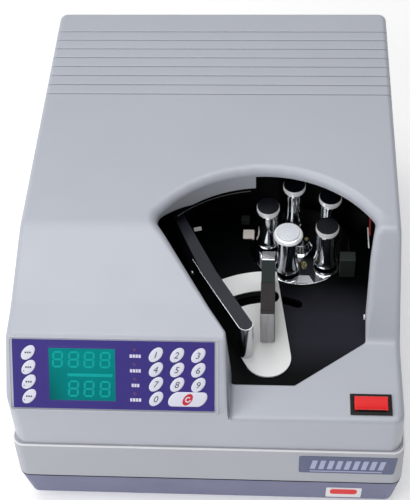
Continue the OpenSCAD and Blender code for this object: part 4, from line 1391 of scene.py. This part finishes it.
def area_light(name, place, target, size, power):
    data = bpy.data.lights.new(name, "AREA")
    data.shape = "RECTANGLE"
    data.size, data.size_y = size
    data.energy = power
    lamp = bpy.data.objects.new(name, data)
    lamp.location = place
    lamp.rotation_euler = (Vector(target) - Vector(place)).to_track_quat("-Z", "Y").to_euler()
    bpy.context.scene.collection.objects.link(lamp)


def build_world():
    """Bright at the left horizon, dim overhead and at the right, so that polished parts keep
    their contrast."""
    world = bpy.data.worlds.new("studio")
    bpy.context.scene.world = world
    world.use_nodes = True
    nodes, links = world.node_tree.nodes, world.node_tree.links
    where = nodes.new("ShaderNodeTexCoord")
    axes = nodes.new("ShaderNodeSeparateXYZ")
    links.new(where.outputs["Generated"], axes.inputs[0])
    product = nodes.new("ShaderNodeMath")
    product.operation = "MULTIPLY"
    for k, (axis, span) in enumerate({"Z": (0.1, 0.6, 0.5, 0.16),
                                      "X": (-0.8, 0.8, 1.4, 0.2)}.items()):
        level = nodes.new("ShaderNodeMapRange")
        for i, v in enumerate(span):
            level.inputs[i + 1].default_value = v
        links.new(axes.outputs[axis], level.inputs[0])
        links.new(level.outputs[0], product.inputs[k])
    links.new(product.outputs[0], nodes["Background"].inputs[1])
    nodes["Background"].inputs[0].default_value = (1, 1, 1, 1)


def build_stage():
    floor_sheet("floor", 20, 8, rgb(250, 250, 250))
    build_world()
    area_light("key", (-0.8, -0.7, 0.9), (-0.05, -0.05, 0.1), (0.7, 0.7), 4.8)
    area_light("front", (-0.35, -1.1, 1.35), (-0.05, 0, 0.15), (0.6, 0.6), 2.0)
    area_light("top", (-0.1, 0.1, 1.9), (0, 0, 0.15), (1.5, 1.5), 21.5)
    bpy.context.scene.view_settings.view_transform = "Standard"


def build_camera():
    """Camera at the object's front, high above it, as calibrated on its straight edges."""
    pitch, yaw, roll = 0.882, -0.098, -0.063
    forward = Vector((math.sin(yaw) * math.cos(pitch), math.cos(yaw) * math.cos(pitch),
                      -math.sin(pitch)))
    right = Vector((math.cos(yaw), -math.sin(yaw), 0))
    up = right.cross(forward)
    tilted_right = right * math.cos(roll) + up * math.sin(roll)
    tilted_up = up * math.cos(roll) - right * math.sin(roll)
    data = bpy.data.cameras.new("camera")
    data.lens = 84.16
    data.sensor_width = 36.0
    camera = bpy.data.objects.new("camera", data)
    turn = Matrix((tilted_right, tilted_up, -forward)).transposed().to_4x4()
    camera.matrix_world = Matrix.Translation(at(59.597, -509.146, 989.375)) @ turn
    bpy.context.scene.collection.objects.link(camera)
    bpy.context.scene.camera = camera


build_stage()
build_camera()
